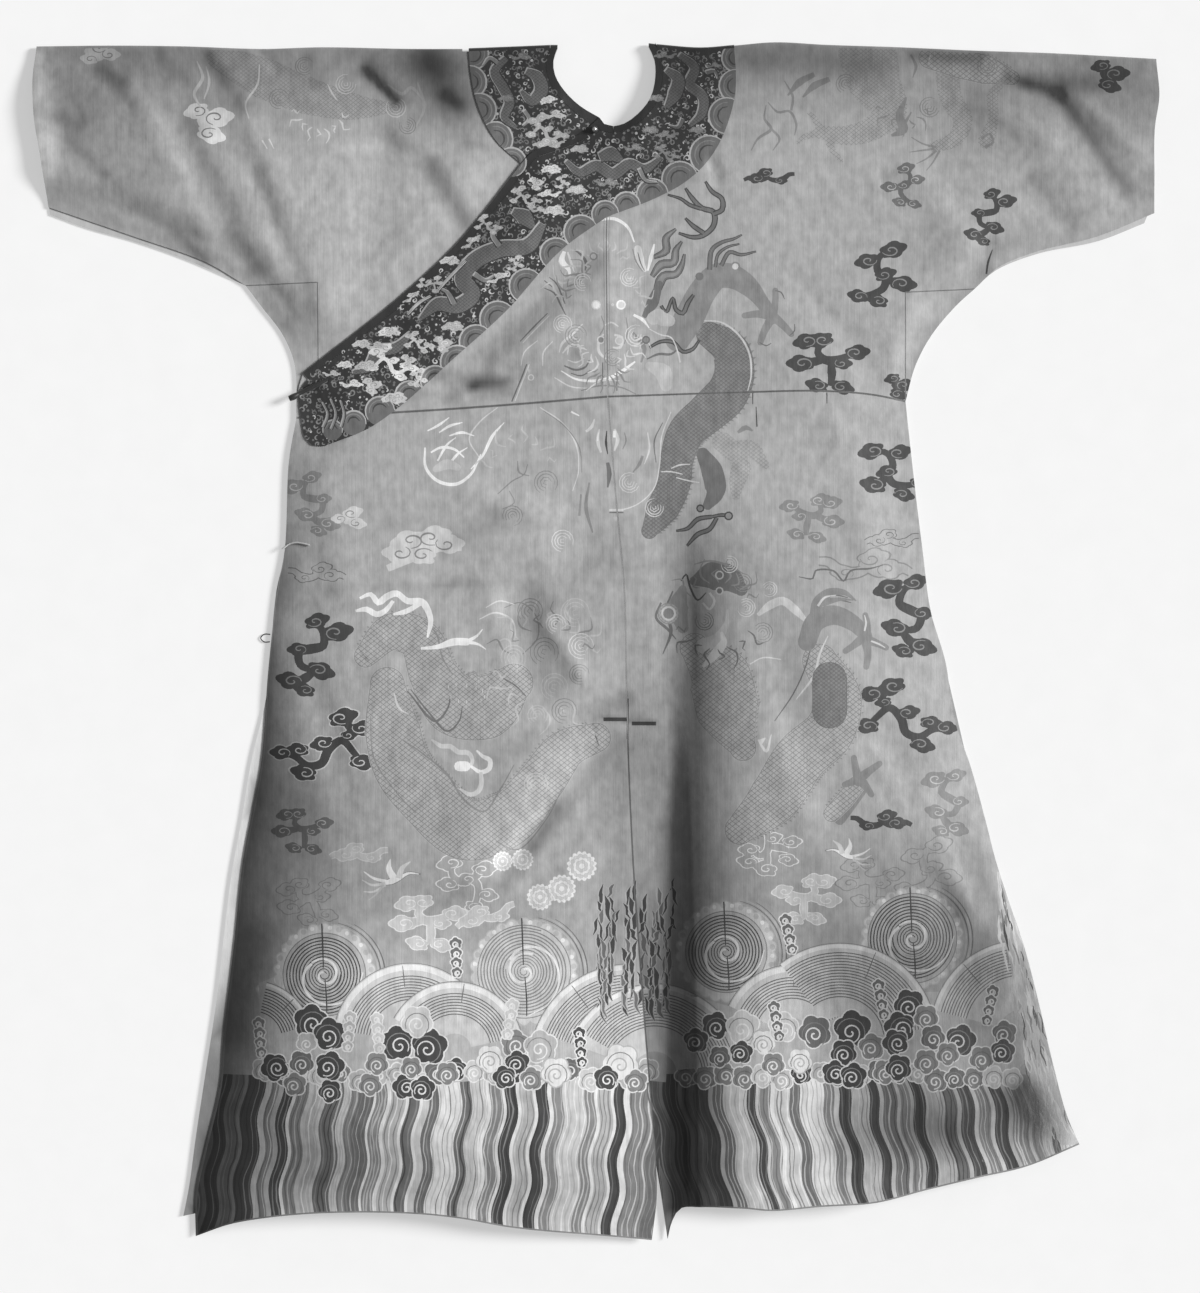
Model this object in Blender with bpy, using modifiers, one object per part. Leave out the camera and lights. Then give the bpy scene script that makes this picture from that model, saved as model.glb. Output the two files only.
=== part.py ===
"""A Chinese dragon robe laid flat on its back: collar towards +Y, hem towards -Y, +Z up, underside at z = 0.

Tables are in millimetres: x from the middle of the span, y from the middle of the length. The objects are
in metres. The cloth is a wall of one thickness everywhere. Every piece of the front is cut from one plan of
points, and its height comes from one of three functions of x and y, so a piece that lies on another has the
same points, moved up.
"""

import math
from collections import namedtuple

import bmesh
import bpy
import numpy as np
from mathutils import Vector
from mathutils.geometry import delaunay_2d_cdt

MM = 0.001

# Cloth and seams
WALL = 1.2  # one thickness of lined satin
GAP = 0.3  # left between pieces at a seam, and between layers
PLY = WALL + GAP
CELL = 31.0  # spacing of the plan's inner points
HIDDEN_CELL = 95.0  # the same for the flat back and the inner flap
SAMPLE = 30.0  # spacing along an edge
BINDING = 9.0  # width of the plain strip along the neck and the flap's edge
FOLD_STEPS = 4  # faces round the shoulder fold
BUTTON_SEGMENTS, BUTTON_RINGS = 12, 8
LOOP_SEGMENTS, CORD_SEGMENTS = 16, 6
CORD_SAMPLE = 3.0  # spacing along a cord

# Where the plan's inner points may lie, as shares of its cell
CLEAR_OF_EDGE, CLEAR_OF_FIXED, ROW_SPACING = 0.4, 0.6, 0.87
FIXED_CLEAR_OF_EDGE = 7.0  # and the same for a fold's own points, in millimetres
SHORTEST_END = 6.0  # a binding's edge holds no point nearer than this to its ends

# Heights of the visible surface above the layers that lie flat below it
CLOTH_FOLD = 7.0  # height of the shoulder fold
SHOULDER_LIFT = CLOTH_FOLD - PLY - WALL
SHOULDER_BLEND = 70.0  # below the shoulder, the lift rises to UPPER_LIFT over this length
UPPER_LIFT = 13.0
WAIST_BLEND_FROM, WAIST_BLEND_TO = 300.0, 430.0  # UPPER_LIFT passes into SKIRT_LIFT between these heights
SLEEVE_ROLL = 55.0  # the lift dies away over this width at the sleeve's lower edge
LEFT_ROLL = 100.0  # and over these widths at the sides of the skirt
RIGHT_ROLL = 150.0
FLAP_ROLL = 60.0  # and towards the flap's edge
FOLDS_FULL = 6.0  # folds are whole where the lift is at least this much

Point = namedtuple("Point", "x y")
Level = namedtuple("Level", "y lift")
Fold = namedtuple("Fold", "x1 y1 x2 y2 width lift")

# How far the front stands up, by its place along the robe
SKIRT_LIFT = (
    Level(430, 11.0),
    Level(200, 11.0),
    Level(0, 14.0),
    Level(-250, 20.0),
    Level(-450, 25.0),
    Level(-720, 27.0),
)

# The great fold of the right skirt: a valley along the front opening, then a steep side up to a crest
VALLEY_STARTS_Y, VALLEY_FULL_Y = 100.0, -240.0
CREST_TOP, CREST_HEM = Point(113, 97), Point(126, -680)
STEEP_SIDE = 27.0  # width of the steep side
VALLEY_FLOOR = 1.5  # lift at its bottom
CREST_FIRST_Y, CREST_STEP, CREST_ROWS = 70, 32, 24
SEAM_BLEND_FROM, SEAM_BLEND_TO = 220.0, 100.0  # the two skirts take the seam's lift between these heights
LEFT_BLEND, RIGHT_BLEND = 200.0, 40.0  # and over these widths beside the seam
OVER_LEFT = 60.0  # width over which the right skirt comes down from the left one
SLIT_OPENS = 90.0  # length over which the slit's edges come apart

# Smaller folds: a ridge where lift is above nought, a trough where it is below
FOLDS = (
    Fold(-640, 605, -523, 490, 34, -4.0),
    Fold(-499, 637, -440, 505, 34, -4.5),
    Fold(-440, 505, -379, 391, 30, -4.0),
    Fold(497, 676, 557, 655, 26, -1.5),
    Fold(557, 655, 638, 541, 30, -3.5),
    Fold(521, 553, 575, 499, 26, -2.5),
    Fold(-180, 296, -105, 330, 24, -3.0),
    Fold(-7, 97, -115, 1, 40, -4.5),
    Fold(-190, 73, -85, 80, 22, -2.5),
    Fold(5, -143, -95, -280, 42, -7.0),
    Fold(-60, -110, -150, -235, 38, 3.0),
    Fold(341, -119, 437, -287, 28, -3.5),
    Fold(300, -330, 330, -650, 45, 3.5),
    Fold(430, -330, 470, -620, 40, -4.0),
    Fold(-300, -350, -320, -660, 45, 3.0),
    Fold(-120, -420, -110, -680, 50, -3.5),
)

THROAT = (4, 629)
NECK_LOW = (21, 618)
VENT_TOP = (38, -101)
WAIST_MID = (14, 293)
BINDING_END = (-346, 315)
BINDING_LOW = (21, 609)

# Edges and seams, each a row of points (x, y)
EDGES = {
    "shoulder_left": (
        (-672, 711), (-582, 712), (-492, 711), (-402, 708), (-330, 710), (-222, 708), (-153, 708),
    ),
    "shoulder_collar_left": ((-153, 708), (-102, 710), (-55, 712)),
    "shoulder_binding_left": ((-55, 712), (-46, 712)),
    "shoulder_binding_right": ((63, 714), (72, 713)),
    "shoulder_collar_right": ((72, 713), (125, 709), (166, 712)),
    "shoulder_right": (
        (166, 712), (215, 716), (275, 713), (365, 710), (455, 706), (545, 703), (673, 696),
    ),
    "cuff_left": ((-672, 711), (-676, 679), (-674, 625), (-667, 583), (-658, 521)),
    "cuff_right": ((673, 696), (676, 655), (670, 613), (671, 514)),
    "sleeve_left": ((-658, 521), (-559, 487), (-469, 455), (-421, 427)),
    "sleeve_right": ((671, 514), (605, 487), (533, 469), (482, 448), (455, 423)),
    "gusset_top_left": ((-421, 427), (-334, 430)),
    "gusset_top_right": ((455, 423), (371, 418)),
    "gusset_side_left": ((-334, 430), (-334, 270)),
    "gusset_side_right": ((371, 418), (372, 288)),
    "underarm_left": ((-421, 427), (-403, 403), (-376, 367), (-362, 331), (-360, 268)),
    "underarm_right": ((455, 423), (433, 403), (403, 367), (384, 331), (372, 288)),
    "neck_left": ((-46, 712), (-51, 697), (-49, 679), (-38, 660), (-20, 643), THROAT),
    "neck_throat": (THROAT, (10, 621), NECK_LOW),
    "neck_right": (NECK_LOW, (34, 621), (50, 632), (65, 651), (71, 677), (70, 698), (63, 714)),
    "flap_throat": (THROAT, (-6, 620)),
    "flap_neck": ((-6, 620), (-16, 611), (-48, 598), (-76, 588), (-90, 573)),
    "flap_edge": ((-90, 573), (-161, 484), (-235, 414), (-352, 322)),
    "band_end": (BINDING_END, (-356, 300), (-353, 258), (-349, 243), (-341, 235), (-325, 234)),
    "band_lower": (
        (-325, 234), (-274, 254), (-235, 281), (-171, 338), (-107, 396), (-42, 468), (13, 508),
    ),
    "collar_lower": (
        (13, 508), (70, 530), (107, 550), (133, 574), (152, 605), (166, 650), (168, 680), (166, 712),
    ),
    "collar_outer_left": ((-153, 708), (-150, 677), (-142, 642), (-121, 601), (-90, 573)),
    "collar_back_left": ((-153, 708), (-142, 642), (-105, 585), (-50, 550), (13, 538)),
    "collar_back_right": ((13, 538), (75, 550), (135, 590), (164, 650), (166, 712)),
    "neck_back_left": (
        (-46, 712), (-51, 697), (-49, 679), (-38, 660), (-20, 643), (1, 624), NECK_LOW,
    ),
    "binding_in_left": ((-55, 712), (-60, 697), (-58, 677), (-46, 654), (-27, 636), (-6, 620)),
    "binding_seam": (NECK_LOW, BINDING_LOW),
    "collar_seam_back": (BINDING_LOW, (13, 538)),
    "centre_front": (NECK_LOW, (13, 508), (13, 397), WAIST_MID),
    "under_front": (THROAT, (2, 600), (2, 292)),
    "flap_side": ((-352, 322), (-359, 296), (-360, 268)),
    "waist_side_left": ((-360, 268), (-334, 270)),
    "waist_left": ((-334, 270), (-242, 274), (-107, 283), WAIST_MID),
    "waist_under": ((-334, 270), (-242, 274), (-107, 283), (2, 292)),
    "waist_right": (WAIST_MID, (167, 298), (269, 300), (330, 296), (372, 288)),
    "centre_skirt": (WAIST_MID, (25, 160), (34, 61), (36, -37), VENT_TOP),
    "side_left": (
        (-360, 268), (-369, 216), (-374, 110), (-383, 61), (-394, -37), (-402, -143), (-424, -263),
        (-435, -364), (-448, -477), (-452, -532), (-471, -614), (-481, -661), (-481, -715),
    ),
    "side_right": (
        (372, 288), (377, 241), (385, 170), (393, 105), (402, 37), (420, -25), (431, -95), (450, -150),
        (468, -215), (480, -262), (497, -315), (514, -365), (531, -430), (548, -503), (566, -570),
        (581, -605),
    ),
    "hem_left": (
        (-481, -715), (-432, -697), (-342, -685), (-222, -685), (-162, -691), (-102, -702), (5, -713),
        (67, -719),
    ),
    "hem_right": (
        (86, -719), (92, -696), (103, -681), (173, -679), (210, -682), (270, -677), (335, -672), (395, -657),
        (455, -643), (515, -630), (581, -605),
    ),
    "vent_left": (
        VENT_TOP, (39, -143), (45, -274), (56, -428), (62, -503), (72, -626), (73, -668), (67, -719),
    ),
    "vent_right": (
        VENT_TOP, (39, -143), (40, -195), (38, -274), (48, -428), (58, -560), (74, -641), (86, -719),
    ),
    "back_cuff_left": ((-672, 711), (-676, 679), (-674, 625), (-667, 583), (-656, 512)),
    "back_sleeve_left": ((-656, 512), (-612, 496), (-552, 479), (-490, 457), (-421, 427)),
    "back_cuff_right": ((673, 696), (676, 655), (670, 613), (669, 530), (659, 502)),
    "back_sleeve_right": ((659, 502), (605, 481), (533, 466), (480, 445), (455, 423)),
    "back_side_left": (
        (-360, 268), (-368, 216), (-373, 110), (-384, 61), (-390, 1), (-397, -71), (-414, -143), (-426, -215),
        (-439, -287), (-456, -431), (-471, -530), (-481, -596), (-489, -655), (-496, -691),
    ),
    "back_side_right": (
        (372, 288), (384, 170), (400, 37), (418, -25), (448, -150), (478, -262), (512, -365), (546, -503),
        (564, -570), (574, -600),
    ),
    "back_hem_left": ((-496, -691), (-440, -680), (-342, -676), (-160, -676), (60, -684)),
    "back_hem_right": ((98, -672), (173, -671), (335, -664), (455, -636), (574, -600)),
    "back_seam": ((13, 538), WAIST_MID),
    "back_vent_left": (VENT_TOP, (48, -400), (60, -684)),
    "back_vent_right": (VENT_TOP, (62, -400), (98, -672)),
    "inner_side_right": ((2, 292), (0, -400), (-10, -672)),
    "inner_hem": ((-496, -691), (-440, -678), (-342, -673), (-10, -672)),
}

# Cords: each lies this far above the piece below it, and its radius changes along it
CordPoint = namedtuple("CordPoint", "x y above radius")
SIDE_FASTENING = (
    CordPoint(-322, 314, 0.9, 1.6),
    CordPoint(-332, 309, 0.9, 2.6),
    CordPoint(-344, 303, 0.9, 3.0),
    CordPoint(-356, 297, 0.9, 2.8),
    CordPoint(-363, 293, 0.9, 3.9),
    CordPoint(-368, 291, 0.9, 3.4),
)
HIP_LOOP = (
    CordPoint(-344, 115, 0.6, 1.0),
    CordPoint(-352, 117, 0.6, 1.0),
    CordPoint(-361, 118, 0.6, 1.0),
    CordPoint(-369, 116, 0.6, 1.0),
    CordPoint(-377, 110, 0.6, 1.2),
)
BUTTON_AT, BUTTON_RADIUS = Point(-2, 614), 3.2
LOOP_RADIUS, LOOP_CORD = 3.6, 0.8
LOOP_REACH = LOOP_RADIUS + LOOP_CORD

# Colours, as linear red, green and blue
CLOTH_COLOUR = (0.36, 0.36, 0.36)
LINING_COLOUR = (0.46, 0.46, 0.46)
COLLAR_COLOUR = (0.05, 0.05, 0.05)
BINDING_COLOUR = (0.025, 0.025, 0.025)
METAL_COLOUR = (0.55, 0.55, 0.55)


# ---------------------------------------------------------------- lines


def spline(points, step=SAMPLE):
    """A centripetal Catmull-Rom curve through the points, sampled about every step."""
    pts = [np.array(p, float) for p in points]
    if len(pts) == 2:
        count = max(1, round(np.linalg.norm(pts[1] - pts[0]) / step))
        return [tuple(pts[0] + (pts[1] - pts[0]) * i / count) for i in range(count + 1)]
    pts = [2 * pts[0] - pts[1], *pts, 2 * pts[-1] - pts[-2]]
    found = []
    for p0, p1, p2, p3 in zip(pts, pts[1:], pts[2:], pts[3:]):
        count = max(1, round(np.linalg.norm(p2 - p1) / step))
        knots = [0.0]
        for a, b in ((p0, p1), (p1, p2), (p2, p3)):
            knots.append(knots[-1] + math.sqrt(np.linalg.norm(b - a)))
        for i in range(count):
            found.append(tuple(catmull_rom(p0, p1, p2, p3, knots, i / count)))
    return [*found, tuple(pts[-2])]


def catmull_rom(p0, p1, p2, p3, knots, share):
    t0, t1, t2, t3 = knots
    t = t1 + (t2 - t1) * share
    a1 = (t1 - t) / (t1 - t0) * p0 + (t - t0) / (t1 - t0) * p1
    a2 = (t2 - t) / (t2 - t1) * p1 + (t - t1) / (t2 - t1) * p2
    a3 = (t3 - t) / (t3 - t2) * p2 + (t - t2) / (t3 - t2) * p3
    b1 = (t2 - t) / (t2 - t0) * a1 + (t - t0) / (t2 - t0) * a2
    b2 = (t3 - t) / (t3 - t1) * a2 + (t - t1) / (t3 - t1) * a3
    return (t2 - t) / (t2 - t1) * b1 + (t - t1) / (t2 - t1) * b2


LINES = {name: spline(points) for name, points in EDGES.items()}


def mitre(middle, ahead, least):
    """How much further a corner moves than its sides, limited at sharp corners."""
    return 1 / np.maximum(least, (middle * ahead).sum(axis=1))


def beside(line, distance):
    """The line moved to its left by the distance, without the points that a sharp turn brings too near."""
    pts = np.array(line)
    ahead = np.diff(pts, axis=0)
    ahead /= np.linalg.norm(ahead, axis=1)[:, None]
    before = np.vstack([ahead[:1], ahead])
    after = np.vstack([ahead, ahead[-1:]])
    middle = before + after
    middle /= np.linalg.norm(middle, axis=1)[:, None]
    left = np.column_stack([-middle[:, 1], middle[:, 0]])
    moved = pts + left * (distance * mitre(middle, after, 0.6))[:, None]
    return [tuple(p) for p in moved if distance_to([line], *p) > abs(distance) - GAP]


def line_of(*names):
    """Lines joined end to end; a name with a minus is walked backwards."""
    found = []
    for name in names:
        line = LINES[name[1:]][::-1] if name.startswith("-") else LINES[name]
        found += line[1:] if found and math.dist(found[-1], line[0]) < 0.01 else line
    return found


def loop(*names):
    """A closed outline from lines joined end to end."""
    found = line_of(*names)
    return found[:-1] if math.dist(found[0], found[-1]) < 0.01 else found


def distance_to(lines, x, y):
    """The distance from (x, y) to the nearest of the lines."""
    best = math.inf
    for line in lines:
        pts = np.asarray(line)
        start, along = pts[:-1], np.diff(pts, axis=0)
        share = ((np.array([x, y]) - start) * along).sum(axis=1) / (along**2).sum(axis=1)
        foot = start + along * np.clip(share, 0, 1)[:, None]
        best = min(best, np.hypot(foot[:, 0] - x, foot[:, 1] - y).min())
    return best


def binding_inner(start, line, side, end):
    """The inner edge of a binding along the line, between two given ends."""
    moved = beside(line, side * BINDING)
    return [start, *[p for p in moved if min(math.dist(p, start), math.dist(p, end)) > SHORTEST_END], end]


BINDING_TOP_LEFT = LINES["shoulder_binding_left"][0]
BINDING_TOP_RIGHT = LINES["shoulder_binding_right"][-1]
LINES["binding_in_back_left"] = binding_inner(BINDING_TOP_LEFT, LINES["neck_back_left"], -1, BINDING_LOW)
LINES["binding_in_right"] = binding_inner(BINDING_LOW, LINES["neck_right"], -1, BINDING_TOP_RIGHT)
LINES["binding_in_flap"] = binding_inner(
    BINDING_LOW, line_of("-neck_throat", "flap_throat", "flap_neck", "flap_edge"), 1, BINDING_END
)


NECK_BINDING_RIGHT = loop("neck_right", "shoulder_binding_right", "-binding_in_right", "-binding_seam")


def inset(outline):
    """The closed outline drawn in by half a seam gap, anticlockwise."""
    pts = np.array(outline)
    if np.sum(pts[:, 0] * np.roll(pts[:, 1], -1) - np.roll(pts[:, 0], -1) * pts[:, 1]) < 0:
        pts = pts[::-1]
    ahead = np.roll(pts, -1, axis=0) - pts
    ahead /= np.linalg.norm(ahead, axis=1)[:, None]
    before = np.roll(ahead, 1, axis=0)
    middle = before + ahead
    middle /= np.linalg.norm(middle, axis=1)[:, None]
    inward = np.column_stack([-middle[:, 1], middle[:, 0]])
    return pts + inward * (GAP / 2 * mitre(middle, ahead, 0.35))[:, None]


# ---------------------------------------------------------------- heights


def ease(share):
    share = min(1.0, max(0.0, share))
    return share * share * (3 - 2 * share)


def swell(share):
    """A rounded rise that is steepest at its foot."""
    share = min(1.0, max(0.0, share))
    return math.sin(share * math.pi / 2)


def skirt_lift(y):
    upwards = SKIRT_LIFT[::-1]
    return float(np.interp(y, [row.y for row in upwards], [row.lift for row in upwards]))


def seam_x(y):
    line = LINES["centre_skirt"] + LINES["vent_left"][1:]
    return float(np.interp(y, [p[1] for p in line][::-1], [p[0] for p in line][::-1]))


def crest_x(y):
    share = (CREST_TOP.y - y) / (CREST_TOP.y - CREST_HEM.y)
    return CREST_TOP.x + (CREST_HEM.x - CREST_TOP.x) * share


def valley(y):
    """How far the valley has opened at this height, from 0 to 1."""
    return ease((VALLEY_STARTS_Y - y) / (VALLEY_STARTS_Y - VALLEY_FULL_Y))


def slit(y):
    """1 above the front slit, falling to 0 where its two edges lie apart."""
    return 1 - ease((VENT_TOP[1] - y) / SLIT_OPENS)


def folds(x, y):
    total = 0.0
    for fold in FOLDS:
        dx, dy = fold.x2 - fold.x1, fold.y2 - fold.y1
        length = math.hypot(dx, dy)
        along = ((x - fold.x1) * dx + (y - fold.y1) * dy) / length
        across = ((x - fold.x1) * dy - (y - fold.y1) * dx) / length
        past = max(0.0, -along, along - length) / fold.width
        total += fold.lift * math.exp(-((across / fold.width) ** 2) - past**2)
    return total


SLEEVE_EDGES = [LINES[name] for name in ("sleeve_left", "sleeve_right", "underarm_left", "underarm_right")]
SHOULDERS = [
    line_of("shoulder_left", "shoulder_collar_left"),
    line_of("shoulder_collar_right", "shoulder_right"),
]
FLAP_EDGES = [line_of("flap_throat", "flap_neck", "flap_edge", "flap_side")]
FLAP = loop(
    "flap_throat", "flap_neck", "flap_edge", "flap_side", "waist_side_left", "waist_left", "-centre_front",
    "-neck_throat",
)


def roll(x, y):
    """How far the lift has risen from the side edges, from 0 to 1."""
    arm = ease(distance_to(SLEEVE_EDGES, x, y) / SLEEVE_ROLL)
    left = swell(distance_to([LINES["side_left"]], x, y) / LEFT_ROLL)
    right = swell(distance_to([LINES["side_right"]], x, y) / RIGHT_ROLL)
    return min(arm, left, right)


def general_lift(x, y):
    below = ease(distance_to(SHOULDERS, x, y) / SHOULDER_BLEND)
    upper = SHOULDER_LIFT + (UPPER_LIFT - SHOULDER_LIFT) * below
    share = ease((y - WAIST_BLEND_FROM) / (WAIST_BLEND_TO - WAIST_BLEND_FROM))
    return (upper * share + skirt_lift(y) * (1 - share)) * roll(x, y)


def seam_lift(y):
    """The lift of the cloth along the centre seam of the skirt."""
    return general_lift(seam_x(y), y) * (1 - valley(y)) + VALLEY_FLOOR * valley(y)


def by_seam(y):
    """How far the two skirts take the seam's lift at this height, from 0 to 1."""
    return ease((SEAM_BLEND_FROM - y) / (SEAM_BLEND_FROM - SEAM_BLEND_TO))


def with_folds(lift, x, y):
    return max(0.0, lift + folds(x, y) * ease(lift / FOLDS_FULL))


def flap_clear(x, y):
    """0 on the flap's edge, 1 well away from it."""
    return ease(distance_to(FLAP_EDGES, x, y) / FLAP_ROLL)


def left_height(x, y):
    """Top of the overlap and of the left skirt, which lie on the left front and the inner flap."""
    lift = general_lift(x, y) * flap_clear(x, y)
    near = (1 - ease((seam_x(y) - x) / LEFT_BLEND)) * by_seam(y)
    lift = lift * (1 - near) + seam_lift(max(y, VENT_TOP[1])) * near
    return PLY + WALL + PLY + with_folds(lift, x, y)


def right_height(x, y):
    """Top of the right front and of the right skirt, with the great fold."""
    lift = general_lift(x, y) * flap_clear(x, y)
    beyond = x - seam_x(y)
    near = (1 - ease(beyond / RIGHT_BLEND)) * by_seam(y)
    lift = lift * (1 - near) + seam_lift(y) * near
    side = ease((crest_x(y) - x) / STEEP_SIDE) * valley(y)
    lift = lift * (1 - side) + seam_lift(y) * side
    under = (1 - ease(beyond / OVER_LEFT)) * slit(y)
    return PLY + WALL + PLY * under + with_folds(lift, x, y)


def outer_height(x, y):
    return right_height(x, y) if x > seam_x(y) else left_height(x, y)


def in_loop(outline, x, y):
    inside = False
    for (ax, ay), (bx, by) in zip(outline, outline[1:] + outline[:1]):
        if (ay > y) != (by > y) and x < ax + (bx - ax) * (y - ay) / (by - ay):
            inside = not inside
    return inside


def under_height(x, y):
    """Top of the left front, which lies flat where the overlap covers it."""
    lift = 0.0 if in_loop(FLAP, x, y) else with_folds(general_lift(x, y) * flap_clear(x, y), x, y)
    return PLY + WALL + lift


def inner_height(x, y):
    return PLY + WALL


def back_height(x, y):
    return WALL


# ---------------------------------------------------------------- plans


def grid(cell, outlines, extra=()):
    """Staggered points inside the outlines' box that keep clear of the outlines and of the extra points."""
    every = np.vstack(outlines)
    (left, low), (right, high) = every.min(axis=0), every.max(axis=0)
    segments = [np.vstack([outline, outline[:1]]) for outline in outlines]
    kept = [p for p in extra if distance_to(segments, *p) > FIXED_CLEAR_OF_EDGE]
    fixed = np.array(kept) if kept else np.empty((0, 2))
    row, y = 0, low + cell * 0.5
    while y < high:
        x = left + cell * (0.5 if row % 2 else 1.0)
        while x < right:
            to_fixed = np.hypot(fixed[:, 0] - x, fixed[:, 1] - y).min() if len(fixed) else math.inf
            if to_fixed > cell * CLEAR_OF_FIXED and distance_to(segments, x, y) > cell * CLEAR_OF_EDGE:
                kept.append((x, y))
            x += cell
        y += cell * ROW_SPACING
        row += 1
    return kept


class Plan:
    """Outlines and inner points as one flat triangle mesh; a piece is the triangles inside its outline."""

    def __init__(self, outlines, cell, extra=()):
        self.names = list(outlines)
        insets = [inset(outline) for outline in outlines.values()]
        points, faces = [], []
        for outline in insets:
            faces.append(list(range(len(points), len(points) + len(outline))))
            points += [Vector(p) for p in outline]
        points += [Vector(p) for p in grid(cell, insets, extra)]
        found = delaunay_2d_cdt(points, [], faces, 1, 1e-3, True)
        self.points = [tuple(p) for p in found[0]]
        self.triangles = [tuple(t) for t in found[2]]
        self.owners = found[5]

    def piece(self, name):
        index = self.names.index(name)
        return [t for t, owners in zip(self.triangles, self.owners) if index in owners]

    def shoulder_chain(self, name, line):
        """The piece's points along a stretch of the shoulder, from left to right."""
        once = {}
        for triangle in self.piece(name):
            for a, b in zip(triangle, triangle[1:] + triangle[:1]):
                key = (min(a, b), max(a, b))
                once[key] = once.get(key, 0) + 1
        rim = {i for key, count in once.items() if count == 1 for i in key}
        found = [
            i
            for i in rim
            if line[0][0] < self.points[i][0] < line[-1][0] and distance_to([line], *self.points[i]) < GAP
        ]
        return sorted(found, key=lambda i: self.points[i][0])


# ---------------------------------------------------------------- solids


def solid_from(name, points, faces, lift, colour, roughness=0.5):
    """An open surface given the wall's thickness on its inner side, whose points are then lifted."""
    sheet = bpy.data.meshes.new(name + "_sheet")
    sheet.from_pydata([Vector(p) * MM for p in points], [], faces)
    cut = bpy.data.objects.new(name + "_sheet", sheet)
    ROBE.objects.link(cut)
    shell = cut.modifiers.new("wall", "SOLIDIFY")
    shell.thickness = WALL * MM
    shell.offset = -1
    mesh = bpy.data.meshes.new_from_object(cut.evaluated_get(bpy.context.evaluated_depsgraph_get()))
    bpy.data.objects.remove(cut)
    for vertex in mesh.vertices:
        x, y, z = (value / MM for value in vertex.co)
        vertex.co.z += lift(x, y, z) * MM
    return finish(name, mesh, colour, roughness)


def finish(name, mesh, colour, roughness, metallic=0.0):
    material = bpy.data.materials.new(name)
    material.use_nodes = True
    shader = material.node_tree.nodes["Principled BSDF"]
    shader.inputs["Base Color"].default_value = (*colour, 1)
    shader.inputs["Roughness"].default_value = roughness
    shader.inputs["Metallic"].default_value = metallic
    mesh.materials.append(material)
    obj = bpy.data.objects.new(name, mesh)
    ROBE.objects.link(obj)
    return obj


class Surface:
    """Points and faces of one piece, gathered from its flat parts and its shoulder folds."""

    def __init__(self):
        self.points, self.faces = [], []

    def add_flat(self, plan, name, z, up=True):
        """The piece's triangles at one height; returns the new numbers of its points."""
        number = {}
        for triangle in plan.piece(name):
            for i in triangle:
                if i not in number:
                    number[i] = len(self.points)
                    self.points.append((*plan.points[i], z))
            face = [number[i] for i in triangle]
            self.faces.append(face if up else face[::-1])
        return number

    def add_fold(self, front, back, z):
        """A half round from each front point over the shoulder to the back point below it."""
        rings = [front]
        for step in range(1, FOLD_STEPS):
            turn = math.pi * step / FOLD_STEPS
            ring = []
            for i, j in zip(front, back):
                x = self.points[i][0] + (self.points[j][0] - self.points[i][0]) * step / FOLD_STEPS
                y = self.points[i][1] + z / 2 * math.sin(turn)
                ring.append(len(self.points))
                self.points.append((x, y, z / 2 * (1 + math.cos(turn))))
            rings.append(ring)
        rings.append(back)
        for upper, lower in zip(rings, rings[1:]):
            for i in range(len(front) - 1):
                self.faces.append([upper[i], upper[i + 1], lower[i + 1], lower[i]])


def folded_piece(name, plans, height, shoulder, fold_height, colour, roughness=0.5):
    """A piece that runs from the front over the shoulder to the back, where it lies on the ground."""
    surface = Surface()
    chains = []
    for plan, z in zip(plans, (fold_height, 0.0)):
        number = surface.add_flat(plan, name, z, up=z > 0)
        chains.append([number[i] for i in plan.shoulder_chain(name, shoulder)])
    surface.add_fold(*chains, fold_height)

    def lift(x, y, z):
        share = (z - WALL) / (fold_height - 2 * WALL)
        return (height(x, y) - fold_height) * min(1.0, max(0.0, share))

    return solid_from(name, surface.points, surface.faces, lift, colour, roughness)


def flat_piece(name, plan, height, colour, roughness=0.5):
    surface = Surface()
    surface.add_flat(plan, name, 0.0)
    return solid_from(name, surface.points, surface.faces, lambda x, y, z: height(x, y), colour, roughness)


def cord(name, route, surface, colour):
    """A tube that follows a surface, whose radius changes from point to point."""
    curve = bpy.data.curves.new(name, "CURVE")
    curve.dimensions = "3D"
    curve.bevel_depth = MM
    curve.bevel_resolution = 2
    curve.use_fill_caps = True
    stroke = curve.splines.new("POLY")
    middle = [(p.x, p.y, surface(p.x, p.y) + p.above + p.radius, p.radius) for p in route]
    smooth = spline(middle, CORD_SAMPLE)
    stroke.points.add(len(smooth) - 1)
    for point, (x, y, z, radius) in zip(stroke.points, smooth):
        point.co = (x * MM, y * MM, z * MM, 1)
        point.radius = radius
    return finish(name, curve, colour, 0.6)


def ball(name, centre, radius, colour):
    """A small round button."""
    mesh = bpy.data.meshes.new(name)
    shape = bmesh.new()
    bmesh.ops.create_uvsphere(
        shape, u_segments=BUTTON_SEGMENTS, v_segments=BUTTON_RINGS, radius=radius * MM
    )
    shape.to_mesh(mesh)
    shape.free()
    obj = finish(name, mesh, colour, 0.35, 0.8)
    obj.location = Vector(centre) * MM
    return obj


def ring(name, centre, radius, thickness, colour):
    """A closed loop of cord."""
    bpy.ops.mesh.primitive_torus_add(
        major_segments=LOOP_SEGMENTS, minor_segments=CORD_SEGMENTS,
        major_radius=radius * MM, minor_radius=thickness * MM,
    )
    obj = bpy.context.object
    mesh = obj.data
    bpy.data.objects.remove(obj)
    made = finish(name, mesh, colour, 0.6)
    made.location = Vector(centre) * MM
    return made


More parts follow.
